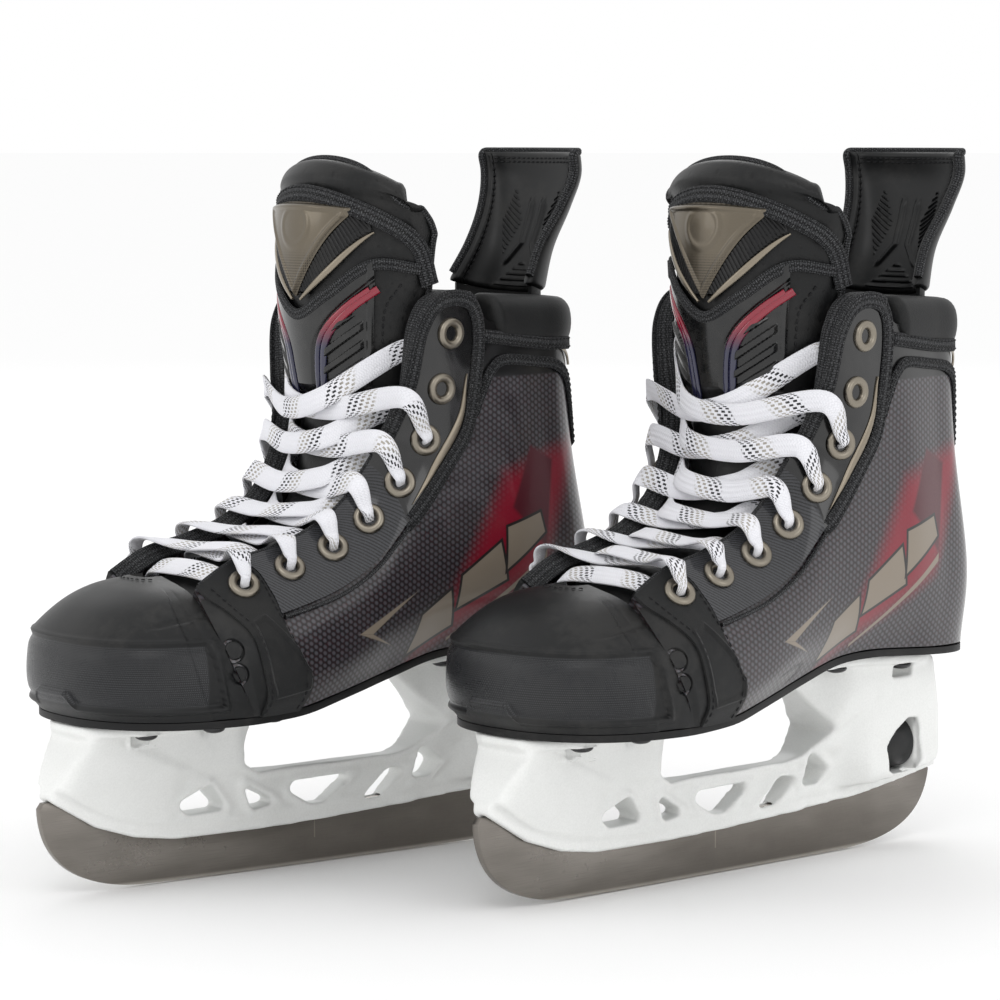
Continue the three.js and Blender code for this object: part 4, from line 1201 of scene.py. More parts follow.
    def holder(self) -> Piece:
        """The moulded holder: a thickened plate with its truss, flanges and pockets."""
        plate_half = 10.0
        front = -self.half + 2.5
        outline = [
            *self.edge, (114.5, 31), (110, 50), (101, FORM.sole(np.array(101.0)) - 1.5),
            (70, 72), (20, 70), (-22, 60), (-60, 58.5), (front + 13, 58), (front + 5, 46), (front, 36),
        ]
        body = side_plate("holder", outline, -plate_half, plate_half)
        cut(body, [side_plate("gap", hole, -20, 20) for hole in self.gaps])
        finish_with(body, "REMESH", mode="VOXEL", voxel_size=self.voxel)
        co = co_of(body)
        on_face = np.abs(co[:, 0]) > 0.7 * plate_half
        width = self.half_width(co[:, 1], co[:, 2]) - self.recess(co[:, 1], co[:, 2]) * on_face
        co[:, 0] *= width / plate_half
        set_co(body, co)
        flanges = [self.flange_plate(-104, -18, 22), self.flange_plate(22, 103, 20.5)]
        join([body, *flanges])
        finish_with(body, "REMESH", mode="VOXEL", voxel_size=self.voxel)
        below = ((-self.half - 6, 20), (-self.half, -5), (self.half, -5), (self.half + 6, 20))
        slot = [*self.runner_top(self.clearance), *below]
        x, y, z = self.wheel
        room = self.wheel_length / 2 + self.clearance
        tall = self.wheel_radius + self.clearance
        tools = [
            side_plate("slot", slot, -self.steel / 2 - self.gap, self.steel / 2 + self.gap),
            side_plate("room", rectangle(y - room, y + room, z - tall, z + tall), x - tall, 12.6),
            side_plate("window", self.window, 11.5, 40),
            side_plate("bolt_room", rectangle(66.5, y - room + 0.5, 29.9, 40.6), -2.6, 7.6),
            cylinder("shaft_room", 3.1, 22, (x, y + room + 4, z), Axis.Y, 24),
        ]
        for rx, ry in self.rivets:
            top = float(FORM.sole(np.array(ry))) - self.gap - self.flange
            for sign in (1, -1):
                tools += [
                    cylinder("spot_face", self.rivet_head, 5, (sign * rx, ry, top - 2.5), sides=24),
                    cylinder("shank_hole", self.rivet_shank, 12, (sign * rx, ry, top + 3), sides=16),
                ]
        cut(body, tools)
        finish_with(body, "REMESH", mode="VOXEL", voxel_size=self.fine_voxel)
        finish_with(body, "SMOOTH", factor=0.5, iterations=2)
        return map_side(smooth(body, 180))

    def flange_plate(self, start: float, end: float, widest: float) -> Piece:
        """A flange under the sole with round ends and an eased edge."""
        middle, reach = (start + end) / 2, (end - start) / 2

        def place(u: Array, v: Array) -> Array:
            y = start + (end - start) * v
            share = np.minimum(np.abs(y - middle) / reach, 0.985)
            x = (2 * u - 1) * widest * (1 - share**5) ** (1 / 3)
            return np.stack([x, y, FORM.sole(y) - self.gap], 1)

        return sheet("flange", 16, 40, place, thick=self.flange)

    def rivet_set(
        self, name: str, places: Sequence[tuple[float, float]], plate_half: float,
    ) -> Piece:
        """Domed heads under the flange, their shanks, and the plate inside the boot."""
        profile = [(0, -1.8), (1.6, -1.75), (2.6, -1.5), (3.5, -1.0), (3.95, -0.45), (4, 0), (0, 0)]
        head = turned("rivet_head", profile, 28)
        ys = [y for _, y in places]
        low, high = min(ys) - 6, max(ys) + 6

        def place(u: Array, v: Array) -> Array:
            y = low + (high - low) * v
            return np.stack([(2 * u - 1) * plate_half, y, FORM.sole(y) + FORM.seat + 1.0], 1)

        plate = sheet(name, 6, 20, place, thick=1.0)
        ease_edges(plate, 0.3)
        parts = [plate]
        for x, y in places:
            under = float(FORM.sole(np.array(y)))
            top = under - self.gap * 2 - self.flange
            for sign in (1, -1):
                parts.append(copy_at(head, Matrix.Translation((sign * x, y, top)), "head"))
                end = under + FORM.seat + 0.5
                parts.append(cylinder("shank", 2, end - top, (sign * x, y, (top + end) / 2)))
        discard(head)
        return smooth(join(parts), 35)

    def thumbwheel(self) -> Piece:
        """The ribbed drum: every second pair of side faces is sunk between the ribs."""
        x, y, z = self.wheel
        obj = cylinder(
            "thumbwheel", self.wheel_radius, self.wheel_length, (x, y, z), Axis.Y, self.ribs * 4,
        )
        side = [p for p in obj.data.polygons if len(p.vertices) == 4]
        turns = [math.atan2(p.center.z - z, p.center.x - x) % (2 * math.pi) for p in side]
        for polygon in obj.data.polygons:
            polygon.select = False
        for polygon, turn in zip(side, turns):
            polygon.select = int(turn / (2 * math.pi) * self.ribs * 4 + 1e-6) % 4 < 2
        take(obj)
        bpy.ops.object.mode_set(mode="EDIT")
        bpy.ops.mesh.select_mode(type="FACE")
        bpy.ops.mesh.extrude_region_shrink_fatten(TRANSFORM_OT_shrink_fatten={"value": -1.3})
        bpy.ops.object.mode_set(mode="OBJECT")
        ease_edges(obj, 0.18, 28)
        bore = cylinder("bore", 3.0, self.wheel_length + 2, (x, y, z), Axis.Y, 24)
        cut(obj, [bore])
        return smooth(obj, 35)

    def make(self, pair: Pair) -> None:
        """Makes and delivers every piece below the sole."""
        steel = Steel(
            "ground_steel",
            "77726c",
            0.30,
            metallic=1.0,
            grain=900.0,
            bump=0.12,
            depth=0.00003,
            wear=0.5,
        )
        white = Moulded(
            "white_nylon", "f0f1ef", 0.36, grain=1500.0, bump=0.05, wear=0.22, wear_colour="b9b8b2",
        )
        dark = Finish(
            "dark_plated_metal", "4a4a4b", 0.38, metallic=1.0, grain=3000.0, bump=0.08, wear=0.5,
        )
        black = Finish("black_knob_plastic", "191a1b", 0.42, grain=2600.0, bump=0.12, wear=0.4)
        pair.add(self.runner(), "runner", steel, ["runner"], "runner_steel")
        pair.add(self.holder(), "boot", white, ["holder"], "holder_plastic")
        pair.add(self.thumbwheel(), "wheel", black, ["thumbwheel"], "black_plastic")
        pair.add(
            self.rivet_set("front_rivets", self.rivets[:3], 20.5),
            "boot",
            dark,
            ["front_rivets"],
            "dark_metal",
        )
        pair.add(
            self.rivet_set("rear_rivets", self.rivets[3:], 19),
            "boot",
            dark,
            ["rear_rivets"],
            "dark_metal",
        )
        for foot in Foot:
            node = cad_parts[f"{foot.name.lower()}_lock_bolt"]
            node.data.materials.clear()
            node.data.materials.append(dark.material())


# ---------------------------------------------------------------- the boot's finishes


@dataclass(frozen=True)
class Quarter(Finish):
    """The boot's side: a dotted print, crimson towards the heel, with bars, a chevron and a line."""

    dots: str = "55575d"
    crimson: str = "7d0622"
    taupe: str = "84796b"
    bars: tuple = (
        ((18.9, 77.5), (21.4, 91.7), (34, 99.7), (38, 86.6)),
        ((38.6, 92.9), (39.1, 104.7), (56.5, 115.6), (60.6, 101.9)),
        ((60.5, 105.6), (59.8, 120.9), (76.6, 125.1), (79.3, 117.9)),
    )

    def dress(self, w: Wires, colour: Value, roughness: Value, height: Value) -> Look:
        """Adds the print under the clear coat."""
        side = w.uv("Side")
        tilted = w.node("Mapping", Vector=side, Rotation=(0, 0, math.radians(32))).outputs[0]
        dots = w.use(DOTS, Vector=tilted, Pitch=2.4, Radius=0.34, Soft=0.3).outputs["Mask"]
        shade = w.blend(w.times(dots, 0.75), colour, ink(self.dots))
        heel = panel_sides(((6, 60), (54, 146), (110, 162), (84, 100)))
        red = w.ramp(w.use(PANEL, Vector=side, Soft=1.0, **heel).outputs["Distance"], 1.0, 13.0)
        speckle = w.ramp(w.noise(w.at(), 2600.0, 2), 0.35, 0.65, -0.12, 0.12)
        shade = w.blend(w.math("ADD", red, speckle, clamp=True), shade, ink(self.crimson))
        block = w.use(
            PANEL,
            Vector=side,
            Soft=1.5,
            **panel_sides(((71.7, 150), (62, 128), (80.5, 112), (84, 144))),
        )
        shade = w.blend(block.outputs["Mask"], shade, ink("4a0a1a"))
        for corners in self.bars:
            near = w.use(PANEL, Vector=side, Soft=1.0, **panel_sides(corners)).outputs["Distance"]
            shade = w.blend(w.ramp(near, -1.3, -1.0), shade, ink("1d1a1a"))
            shade = w.blend(w.ramp(near, -0.2, 0.1), shade, ink(self.taupe))
        marks = (
            ((-9.7, 87.7), (17.4, 100.6), (-3.3, 87.2)),
            ((-9.7, 87.7), (-3.3, 87.2), (7.2, 82.2)),
            ((38.1, 80.4), (38.1, 81.6), (80.8, 111.5), (80.8, 108.5)),
        )
        for corners in marks:
            mark = w.use(PANEL, Vector=side, Soft=0.4, **panel_sides(corners)).outputs["Mask"]
            shade = w.blend(mark, shade, ink(self.taupe))
        z = w.split(side).outputs[1]
        return w.blend(w.ramp(z, 175.0, 176.0), shade, ink("0b0b0c")), roughness, height


@dataclass(frozen=True)
class Capped(Finish):
    """The toe cap: fine-grained rubber, with a closely dotted panel sunk in its front and sides."""

    def dress(self, w: Wires, colour: Value, roughness: Value, height: Value) -> Look:
        """Adds the dotted panel."""
        place = w.split(w.uv("Side"))
        band = w.times(
            w.ramp(place.outputs[1], 67.5, 68.5), w.ramp(place.outputs[1], 88.0, 89.0, 1, 0),
        )
        band = w.times(band, w.ramp(place.outputs[0], -74.0, -73.0, 1, 0))
        dots = w.use(DOTS, Vector=w.uv("Lay"), Pitch=0.95, Radius=0.3, Soft=0.3).outputs["Mask"]
        shown = w.times(dots, band)
        shade = w.blend(
            w.times(shown, 0.6), w.blend(w.times(band, 0.5), colour, ink("17181a")), ink("4a4b4e"),
        )
        return shade, w.math(
            "MULTIPLY_ADD", band, -0.14, roughness,
        ), w.math("MULTIPLY_ADD", shown, 0.6, height)


@dataclass(frozen=True)
class Facing(Finish):
    """The eyelet facing: glossy black above, ribbed textile low down; Lay's u gives the place."""

    change: float = 80.0

    def dress(self, w: Wires, colour: Value, roughness: Value, height: Value) -> Look:
        """Adds the ribbed textile with its slanted lines, with a painted highlight on the rib crests.
        """
        place = w.split(w.uv("Lay"))
        cloth = w.ramp(place.outputs[0], self.change, self.change + 0.8, 1, 0)
        slant = w.math("MULTIPLY_ADD", place.outputs[1], 0.9, place.outputs[0])
        rib = w.math("ABSOLUTE", w.math("SINE", w.times(slant, math.pi / 1.7)))
        fibre = w.noise(w.at(), 3200.0, 3)
        # Painted highlight: the crests of the ribs are tinted paler grey, as if lit.
        shade = w.blend(w.times(cloth, w.ramp(rib, 0.2, 0.9)), colour, ink("35363a"))
        shade = w.blend(w.times(cloth, w.ramp(fibre, 0.5, 0.7, 0, 0.3)), shade, ink("5b5c60"))
        rough = w.mix(cloth, roughness, 0.8)
        return shade, rough, w.mix(
            cloth, w.times(height, 0.15), w.math("MULTIPLY_ADD", fibre, 0.4, rib),
        )


@dataclass(frozen=True)
class Laced(Finish):
    """Flat braided lace: slanted blocks of short black and grey-beige dashes on white."""

    def dress(self, w: Wires, colour: Value, roughness: Value, height: Value) -> Look:
        """Adds the braid, a painted shade in its hollows, and the blocks of dashes."""
        lay = w.uv("Lay")
        place = w.split(lay)
        u, v = place.outputs[0], place.outputs[1]
        braid = w.use(
            WEAVE,
            Vector=w.node("Mapping", Vector=lay, Rotation=(0, 0, math.radians(45))).outputs[0],
            Pitch=0.75,
        )
        slant = w.math("MULTIPLY_ADD", v, 0.85, u)
        block = w.math("FRACT", w.math("DIVIDE", slant, 27.0))
        inside = w.times(w.ramp(block, 0.02, 0.06), w.ramp(block, 0.45, 0.55, 1, 0))
        row = w.math("FLOOR", w.math("DIVIDE", v, 0.66))
        dash = w.math("FRACT", w.math("MULTIPLY_ADD", row, 0.37, w.math("DIVIDE", u, 2.8)))
        line = w.ramp(w.math("FRACT", w.math("DIVIDE", v, 0.66)), 0.3, 0.45)
        drawn = w.times(w.times(w.ramp(dash, 0.5, 0.56, 1, 0), line), inside)
        dark = w.ramp(block, 0.2, 0.34, 1, 0)
        shade = w.blend(drawn, colour, w.blend(dark, ink("a9a49a"), ink("17171a")))
        # Painted shade: the low points of the braid are tinted blue-grey, as if in shadow.
        shade = w.blend(w.ramp(braid.outputs["Height"], 0.0, 0.5, 0.16, 0), shade, ink("8f90a0"))
        return shade, roughness, braid.outputs["Height"]


@dataclass(frozen=True)
class Dotted(Finish):
    """Leather or metal with a spread of small dots, sunk or printed, between two heights."""

    pitch: float = 5.0
    radius: float = 0.12
    dot: str = "050506"
    low: float = 0.0
    high: float = 0.1

    def dress(self, w: Wires, colour: Value, roughness: Value, height: Value) -> Look:
        """Adds the dots, on the Lay map, fading in below the high mark."""
        lay = w.uv("Lay")
        across = w.split(lay).outputs[1]
        shown = w.ramp(across, self.low, self.high, 1, 0)
        dots = w.use(
            DOTS, Vector=lay, Pitch=self.pitch, Radius=self.radius, Soft=0.08,
        ).outputs["Mask"]
        mark = w.times(dots, shown)
        return w.blend(mark, colour, ink(self.dot)), roughness, w.math("SUBTRACT", height, mark)


@dataclass(frozen=True)
class Striped(Finish):
    """Clear crimson that turns blue-violet lower down."""

    def dress(self, w: Wires, colour: Value, roughness: Value, height: Value) -> Look:
        """Adds the turn of colour with height."""
        z = w.split(w.uv("Side")).outputs[1]
        return w.blend(w.ramp(z, 186.0, 197.0, 1, 0), colour, ink("23243f")), roughness, height


PADDING = Finish(
    "collar_leather", "111213", 0.55, grain=1700.0, pebble=1.0, bump=0.3, depth=0.00015, wear=0.4,
)
BINDING = Woven(
    "black_binding", "0c0d0e", 0.8, bump=0.8, depth=0.0004, pitch=0.9, light="3a3b3e", thread=0.5,
)
THREAD = Finish(
    "black_thread", "1a1a1c", 0.75, grain=5000.0, bump=0.4, wear=0.2, wear_colour="8d8d8d",
)
TAUPE = Finish("taupe_foil", "8d8373", 0.32, metallic=0.8, coat=0.5, wear=0.4)


# ---------------------------------------------------------------- the boot


def relief(place: Place, u: Array, v: Array, height: Array) -> Array:
    """Points of a surface moved outwards by a height, with the direction found from the surface."""
    step = 0.004
    along = place(u + step, v) - place(u - step, v)
    up = place(u, v + step) - place(u, v - step)
    return place(u, v) + unit(np.cross(along, up)) * height[:, None]


def both(obj: Piece) -> Piece:
    """Joins a piece of the outer side with its mirror image on the inner side."""
    return join([obj, copy_at(obj, Matrix.Diagonal((-1, 1, 1, 1)), "mirrored")])


def rounded(around: int, flat: float, fall: float) -> tuple[Array, Array]:
    """A closed outline from -1 to 1 both ways: two even faces that round off towards the ends."""
    angle = np.pi * ((np.arange(around // 2) + 0.5) / (around // 2) - 0.5)
    x = np.sin(angle)
    y = (1 - np.abs(x) ** flat) ** (1 / fall)
    return np.concatenate([x, x[::-1]]), np.concatenate([-y, y])


@dataclass(frozen=True)
class Boot:
    """The boot itself: shell, sole, cap, overlays, facings, eyelets and collar."""

    wall: float = SHELL_WALL
    eyelet_hole: float = 3.45
    eyelet_seat: float = 2.0  # height of an eyelet's flange over the form
    strip_depth: float = -5.3  # the strip behind the eyelets, under the form
    cap_rows: tuple = (
        (2.8, 44.5, -56.8, -104.5), (10, 46.6, -60.8, -109.8), (21, 45.8, -65.4, -110),
        (29, 43, -68.6, -107.5), (39, 32, -70.8, -98), (45, 22, -71.4, -87), (49, 6, -71.8, -75),
    )
    cap_bulge: float = 1.2  # exponent of the cap's outline seen from above; 1 is an ellipse
    buttons: tuple = ((43.0, -64.0, 86.3), (45.0, -63.2, 78.2))
    rear: tuple = (
        (0, 1.75), (0.15, 1.95), (0.32, 2.0), (0.5, 1.66), (0.62, 1.45), (0.8, 1.44), (0.93, 1.36),
        (1, 1.12),
    )

    def shell_top(self, s: Array) -> Array:
        """Where the shell ends: lower along the collar."""
        inside = np.minimum(s - COLLAR_START, FORM.last - COLLAR_START - s)
        return 1 - 0.07 * ease(-0.05, 0.2, inside)

    def shell(self) -> Piece:
        """The boot's wall with its eyelet holes; the lining is its second material."""
        def place(u: Array, v: Array) -> Array:
            s = u * FORM.last
            return FORM.point(s, v * self.shell_top(s))

        obj = lay_grid("boot_shell", 360, 56, place, (560, 110))
        finish_with(
            obj,
            "SOLIDIFY",
            thickness=self.wall,
            offset=-1,
            material_offset=1,
            material_offset_rim=0,
        )
        drills = []
        for s, v in EYELETS:
            for side in (s, FORM.last - s):
                drill = cylinder("drill", self.eyelet_hole, 20, (0, 0, 0), Axis.Z, 20)
                drill.data.transform(upright(side, v))
                drills.append(drill)
        cut(obj, [join(drills)])
        return map_side(smooth(obj, 40))

    def cap_point(self, u: Array, v: Array, inset: float = 0.0) -> Array:
        """Points on the toe cap; u goes round from the inner side, v from the sole up."""
        height, half, rear, front = spline(np.array(self.cap_rows, float), np.clip(v, 0, 1)).T
        angle = math.pi * (1 - u)
        c, s = np.cos(angle), np.maximum(np.sin(angle), 0)
        x = np.sign(c) * np.abs(c) ** (1 / self.cap_bulge) * (half - inset)
        y = rear - (rear - front - inset) * s ** (1 / self.cap_bulge)
        return np.stack([x, y, FORM.stand + height - inset], 1)

    def toe_cap(self) -> Piece:
        """The cap with its sunk panel, two buttons, wrinkle and rear lip."""
        def place(u: Array, v: Array) -> Array:
            p = self.cap_point(u, v)
            x, y, z = np.abs(p[:, 0]), p[:, 1], p[:, 2]
            foot = 67 + 5 * ease(13, 8, x) * ease(-90, -96, y)
            slope = (z - 90) * 0.22
            inside = np.minimum(np.minimum(z - foot, 89.6 - z), -(y + 72.5 + slope))
            height = -1.5 * ease(-0.4, 0.8, inside) + 0.35 * ease(0.9, 0.2, np.abs(inside + 0.8))
            height += self.button_relief(p)
            wrinkle = np.abs((z - 96) - (y + 75) * 0.15 - 1.2)
            height -= 0.5 * ease(0.9, 0.1, wrinkle) * ease(-92, -86, y) * ease(24, 30, x)
            lip = ease(0.035, 0.022, np.abs(np.minimum(u, 1 - u) - 0.045))
            height -= 0.35 * lip * ease(0.9, 0.8, v)
            made = relief(lambda a, b: self.cap_point(np.clip(a, 0, 1), b), u, v, height)
            made[:, 1] += 4.0 * ease(0.02, 0, np.minimum(u, 1 - u))
            return made

        obj = sheet("toe_cap", 330, 120, place, (190, 62), thick=2.6)

        def skirt(u: Array, v: Array) -> Array:
            s = 0.9 * u
            p = FORM.skin(s, 0.93 * v, 0.1)
            lift = 0.9 * ease(0.0, 0.35, s) + self.button_relief(p)
            return relief(lambda a, b: FORM.skin(0.9 * np.maximum(a, 0), 0.93 * b, 0.1), u, v, lift)

        rear = sheet("cap_skirt", 110, 150, skirt, (12, 50), thick=0.7)
        return map_side(smooth(join([obj, both(rear)]), 45))

    def button_relief(self, points: Array) -> Array:
        """Height of the two round buttons with their grooves."""
        p = points.copy()
        p[:, 0] = np.abs(p[:, 0])
        height = np.zeros(len(p))
        for button in self.buttons:
            far = np.linalg.norm((p - button) * (0.35, 1, 1), axis=1)
            height += 0.5 * ease(3.1, 2.7, far) - 0.8 * ease(0.55, 0.15, np.abs(far - 3.5))
        return height

    def half_at(self, y: Array, inset: float) -> Array:
        """Half width of the sole at a place along it."""
        side = FORM.point(np.linspace(0, FORM.middle, 80), np.zeros(80))
        angle = np.linspace(math.pi / 2, 0, 50)
        rear, front, half = self.cap_rows[0][2], self.cap_rows[0][3], self.cap_rows[0][1]
        cap_y = rear - (rear - front) * np.sin(angle) ** (1 / self.cap_bulge)
        cap_x = half * np.cos(angle) ** (1 / self.cap_bulge)
        ys, xs = np.concatenate([cap_y, side[1:, 1]]), np.concatenate([cap_x, side[1:, 0]])
        order = np.argsort(ys)
        return np.maximum(np.interp(y, ys[order], xs[order]) - inset, 0.3)

    def plate(self, name: str, low: float, thickness: float, inset: float) -> Piece:
        """A plate that follows the sole."""
        start, end = self.cap_rows[0][3] + inset, 120.3 - inset

        def place(u: Array, v: Array) -> Array:
            y = start + (end - start) * (1 - np.cos(math.pi * v)) / 2
            return np.stack(
                [(2 * u - 1) * self.half_at(y, inset), y, FORM.sole(y) + low + thickness], 1,
            )

        obj = sheet(name, 24, 90, place, (90, 220), thick=thickness)
        ease_edges(obj, 0.5, 60)
        return smooth(obj, 40)

    def overlay(self) -> Piece:
        """The textile overlay on both sides of the forefoot, with its angular inset."""
        inset = (
            (-54.1, 93.9), (-50.1, 95.6), (-34.9, 79.8), (-34.7, 72.5), (-48.1, 70.7),
            (-49.8, 74.8),
        )
        front = (
            (0, 0.3), (0.2, 0.66), (0.5, 0.72), (0.67, 0.66), (0.8, 0.42), (0.93, 0.12), (1, 0.04),
        )

        def form(u: Array, v: Array) -> Array:
            start = read_table(front, v)
            return FORM.point(start + np.maximum(u, 0) * (read_table(self.rear, v) - start), v)

        def place(u: Array, v: Array) -> Array:
            p = form(u, v)
            inside = outline_distance(p[:, 1:], inset)
            height = 2.0 - 0.45 * ease(0, 0.7, inside) + 0.5 * ease(0.8, 0.0, np.abs(inside + 0.7))
            return relief(form, u, v, height)

        obj = sheet("overlay", 90, 130, place, (30, 100), thick=1.6)
        return both(map_side(smooth(obj, 50)))

    def facing(self) -> Piece:
        """The eyelet facing on both sides."""
        def place(u: Array, v: Array) -> Array:
            start = read_table(self.rear, 0.68 + 0.32 * v) + 0.03
            s = start + (9.66 - start) * u
            low = read_straight(FACING_LOW, s)
            step = 0.3 * ease(5.2, 5.3, s)
            return FORM.skin(s, low + (1 - low) * v, 1.75 + step)

        obj = sheet("facing", 200, 40, place, (175, 26), thick=1.3)
        return both(map_side(smooth(obj, 50)))

    def eyelets(self) -> Piece:
        """Rolled eyelets on both sides, with the strips that hold them inside."""
        profile = (
            (2.5, -5.2), (2.5, 0.4), (2.8, 1.0), (3.4, 1.45), (4.2, 1.62), (5.0, 1.4), (5.5, 0.9),
            (5.7, 0.3), (5.7, 0), (3.35, 0), (3.35, -5.2), (2.5, -5.2),
        )
        ring = turned("ring", profile, 36)
        parts = []
        for k, (s, v) in enumerate(EYELETS):
            parts.append(copy_at(ring, upright(s, v, self.eyelet_seat), f"ring_{k}"))
        discard(ring)
        path, out = along_form(EYELETS, 60, self.strip_depth)
        strip = ribbon("strip", path, out, 9.6, 0.4, 6)
        tools = []
        for s, v in EYELETS:
            tool = cylinder("tool", 3.0, 6, (0, 0, 0), Axis.Z, 20)
            tool.data.transform(upright(s, v, self.strip_depth))
            tools.append(tool)
        cut(strip, [join(tools)])
        return smooth(both(join([*parts, strip])), 35)

    def collar(self) -> Piece:
        """The padded collar round the ankle opening."""
        outline = np.array([
            (0.76, -5.0), (0.86, -5.0), (0.925, -4.9), (0.936, -3.4), (0.936, 0.1), (0.90, 0.35),
            (0.902, 1.7), (0.935, 2.6), (0.972, 1.9), (0.995, -1.2), (0.999, -6.4), (0.992, -9.8),
            (0.965, -12.2), (0.92, -12.9), (0.84, -12.8), (0.77, -12.0), (0.757, -8.5),
        ])
        closed = np.concatenate([outline, outline[:1]])
        line = spline(np.column_stack([closed, np.zeros(len(closed))]), np.arange(52) / 52)[:, :2]
        middle = np.array([0.89, -7.5])
        rings = []
        for share in np.linspace(-1, 1, 150):
            s = FORM.middle + share * 3.93
            tight = max(1 - max((abs(share) - 0.955) / 0.045, 0) ** 2.5, 0.02) ** 0.5
            at = middle + (line - middle) * tight
            rings.append(FORM.skin(np.full(len(at), s), np.minimum(at[:, 0], 1), at[:, 1]))
        return smooth(loft_rings("collar_pad", np.array(rings), 90), 70)

    def trim(self) -> dict[str, Piece]:
        """Woven bindings, stitches, accent stripes and swooshes on both sides."""
        facing_rear = (
            (5.2, 0.675), (6.2, 0.665), (7, 0.665), (8.0, 0.70), (8.9, 0.775), (9.4, 0.85),
            (9.66, 0.93), (9.62, 0.985),
        )
        routes = {
            "throat": (
                ((5.3, 0.985), (6.5, 0.985), (7.6, 0.985), (8.6, 0.985), (9.4, 0.985), (9.7, 0.97)),
                2.5, 6.0,
            ),
            "facing": (facing_rear, 2.3, 5.4),
            "ankle": (
                (
                    (8.5, 0.70), (9.2, 0.755), (9.7, 0.81), (10.1, 0.838), (10.8, 0.84),
                    (11.6, 0.832), (12.2, 0.79), (12.55, 0.70), (12.8, 0.62),
                ), 0.7, 4.0,
            ),
            "collar": (
                ((9.7, 0.895), (11, 0.885), (12, 0.885), (13, 0.885), (14, 0.885)), 1.0, 5.0,
            ),
        }
        bands, seams = [], []
        for name, (route, height, width) in routes.items():
            path, out = along_form(route, 110, height)
            share = np.linspace(0, 1, 110)
            path -= out * ((ease(0.04, 0, share) + ease(0.96, 1, share)) * 2.2)[:, None]
            bands.append(ribbon(f"band_{name}", path, out, width, 0.75, 3.2))
            across = unit(np.cross(unit(np.gradient(path, axis=0)), out)) * width * 0.3
            seams += [
                stitches(f"seam_{name}", path + across * sign + out * 0.62, out, 2.5, 1.7, 0.3)
                for sign in (1, -1)
            ]
        rows = (
            (((1.9, 0.675), (3, 0.665), (4.2, 0.66), (5.2, 0.65)), 0.3),
            (((2.0, 0.30), (1.64, 0.5), (1.4, 0.7), (1.38, 0.88), (1.2, 0.965)), 2.1),
            (((0.4, 0.03), (0.8, 0.2), (0.86, 0.5), (0.8, 0.67), (0.56, 0.8), (0.3, 0.95)), 2.1),
            (((1.62, 0.02), (1.8, 0.15), (1.86, 0.30)), 2.1),
        )
        for route, height in rows:
            path, out = along_form(route, 80, height)
            seams.append(stitches("seam", path, out, 2.7, 1.8, 0.3))
        s = np.linspace(0.1, 9.72, 160)
        rim = FORM.skin(s, np.full(160, 0.993), -1.7)
        upward = unit(FORM.point(s, 1.0) - FORM.point(s, 0.95))
        bands.append(ribbon("band_rim", rim + upward * 0.5, upward, 7.6, 0.9, 3.0))
        path, out = along_form(((1.5, 0.682), (3, 0.672), (4.2, 0.668), (5.25, 0.66)), 60, 1.2)
        bands.append(ribbon("band_low", path, out, 1.4, 0.8, 2.4))
        stripes = []
        accents = (
            (((5.5, 0.715), (6.4, 0.712), (7.2, 0.716), (8.0, 0.745), (8.8, 0.81)), 2.25, 3.2),
            (((10.4, 0.885), (11.2, 0.882), (12.0, 0.868), (12.5, 0.83)), 0.8, 1.5),
        )
        for route, height, width in accents:
            path, out = along_form(route, 60, height)
            taper = np.maximum(np.sin(np.linspace(0, math.pi, 60)), 0.04) ** 0.8
            stripes.append(ribbon("accent", path, out, width * taper, 0.5, 2.2))
        cap = self.cap_rim(0.965, 0.35)
        return {
            "bindings": both(join(bands)),
            "seams": join([both(join(seams)), cap]),
            "accents": both(join(stripes)),
        }

    def cap_rim(self, v: float, lift: float) -> Piece:
        """The stitched line along the cap's rear top edge."""
        u = np.linspace(0.06, 0.94, 120)
        path = self.cap_point(u, np.full(120, v))
        out = unit(self.cap_point(u, np.full(120, v)) - self.cap_point(u, np.full(120, v), 1.0))
        return stitches("cap_seam", path + out * lift, out, 2.4, 1.6, 0.25)

    def make(self, pair: Pair) -> None:
        """Makes and delivers every piece of the boot."""
        print_coat = Quarter(
            "quarter_print", "0d0e10", 0.36, coat=0.55, grain=1200.0, bump=0.04, wear=0.35,
        )
        lining = Finish(
            "lining_felt",
            "2b2c2f",
            0.95,
            sheen=0.4,
            grain=1600.0,
            bump=0.5,
            depth=0.0003,
            wear=0.3,
        )
        composite = Finish("sole_composite", "0c0c0d", 0.5, grain=1500.0, wear=0.5)
        felt = Finish(
            "footbed_felt", "55575a", 0.95, sheen=0.5, grain=1800.0, bump=0.5, depth=0.0003,
        )
        rubber = Capped(
            "toe_rubber",
            "101112",
            0.42,
            grain=3600.0,
            pebble=0.6,
            bump=0.35,
            depth=0.00012,
            wear=0.55,
        )
        textile = Finish(
            "overlay_textile",
            "101112",
            0.72,
            sheen=0.12,
            grain=4200.0,
            pebble=0.4,
            bump=0.5,
            depth=0.0002,
        )
        gloss = Facing("facing_gloss", "070708", 0.14, coat=0.7, bump=0.5, depth=0.0003, wear=0.35)
        nickel = Finish(
            "eyelet_nickel", "8f887c", 0.32, metallic=1.0, grain=1800.0, bump=0.05, wear=0.6,
        )
        pair.add(self.shell(), "boot", (print_coat, lining), ["boot_shell"], "quarter_composite")
        pair.add(self.toe_cap(), "boot", rubber, ["toe_cap"], "toe_rubber")
        pair.add(self.plate("outsole", 0.0, 2.5, 0.0), "boot", composite, ["outsole"], "composite")
        pair.add(self.plate("footbed", 4.4, 3.5, 6.8), "boot", felt, ["footbed"], "footbed_felt")
        pair.add(
            self.overlay(), "boot", textile, ["overlay_outer", "overlay_inner"], "overlay_textile",
        )
        pair.add(self.facing(), "boot", gloss, ["facing_outer", "facing_inner"], "facing_leather")
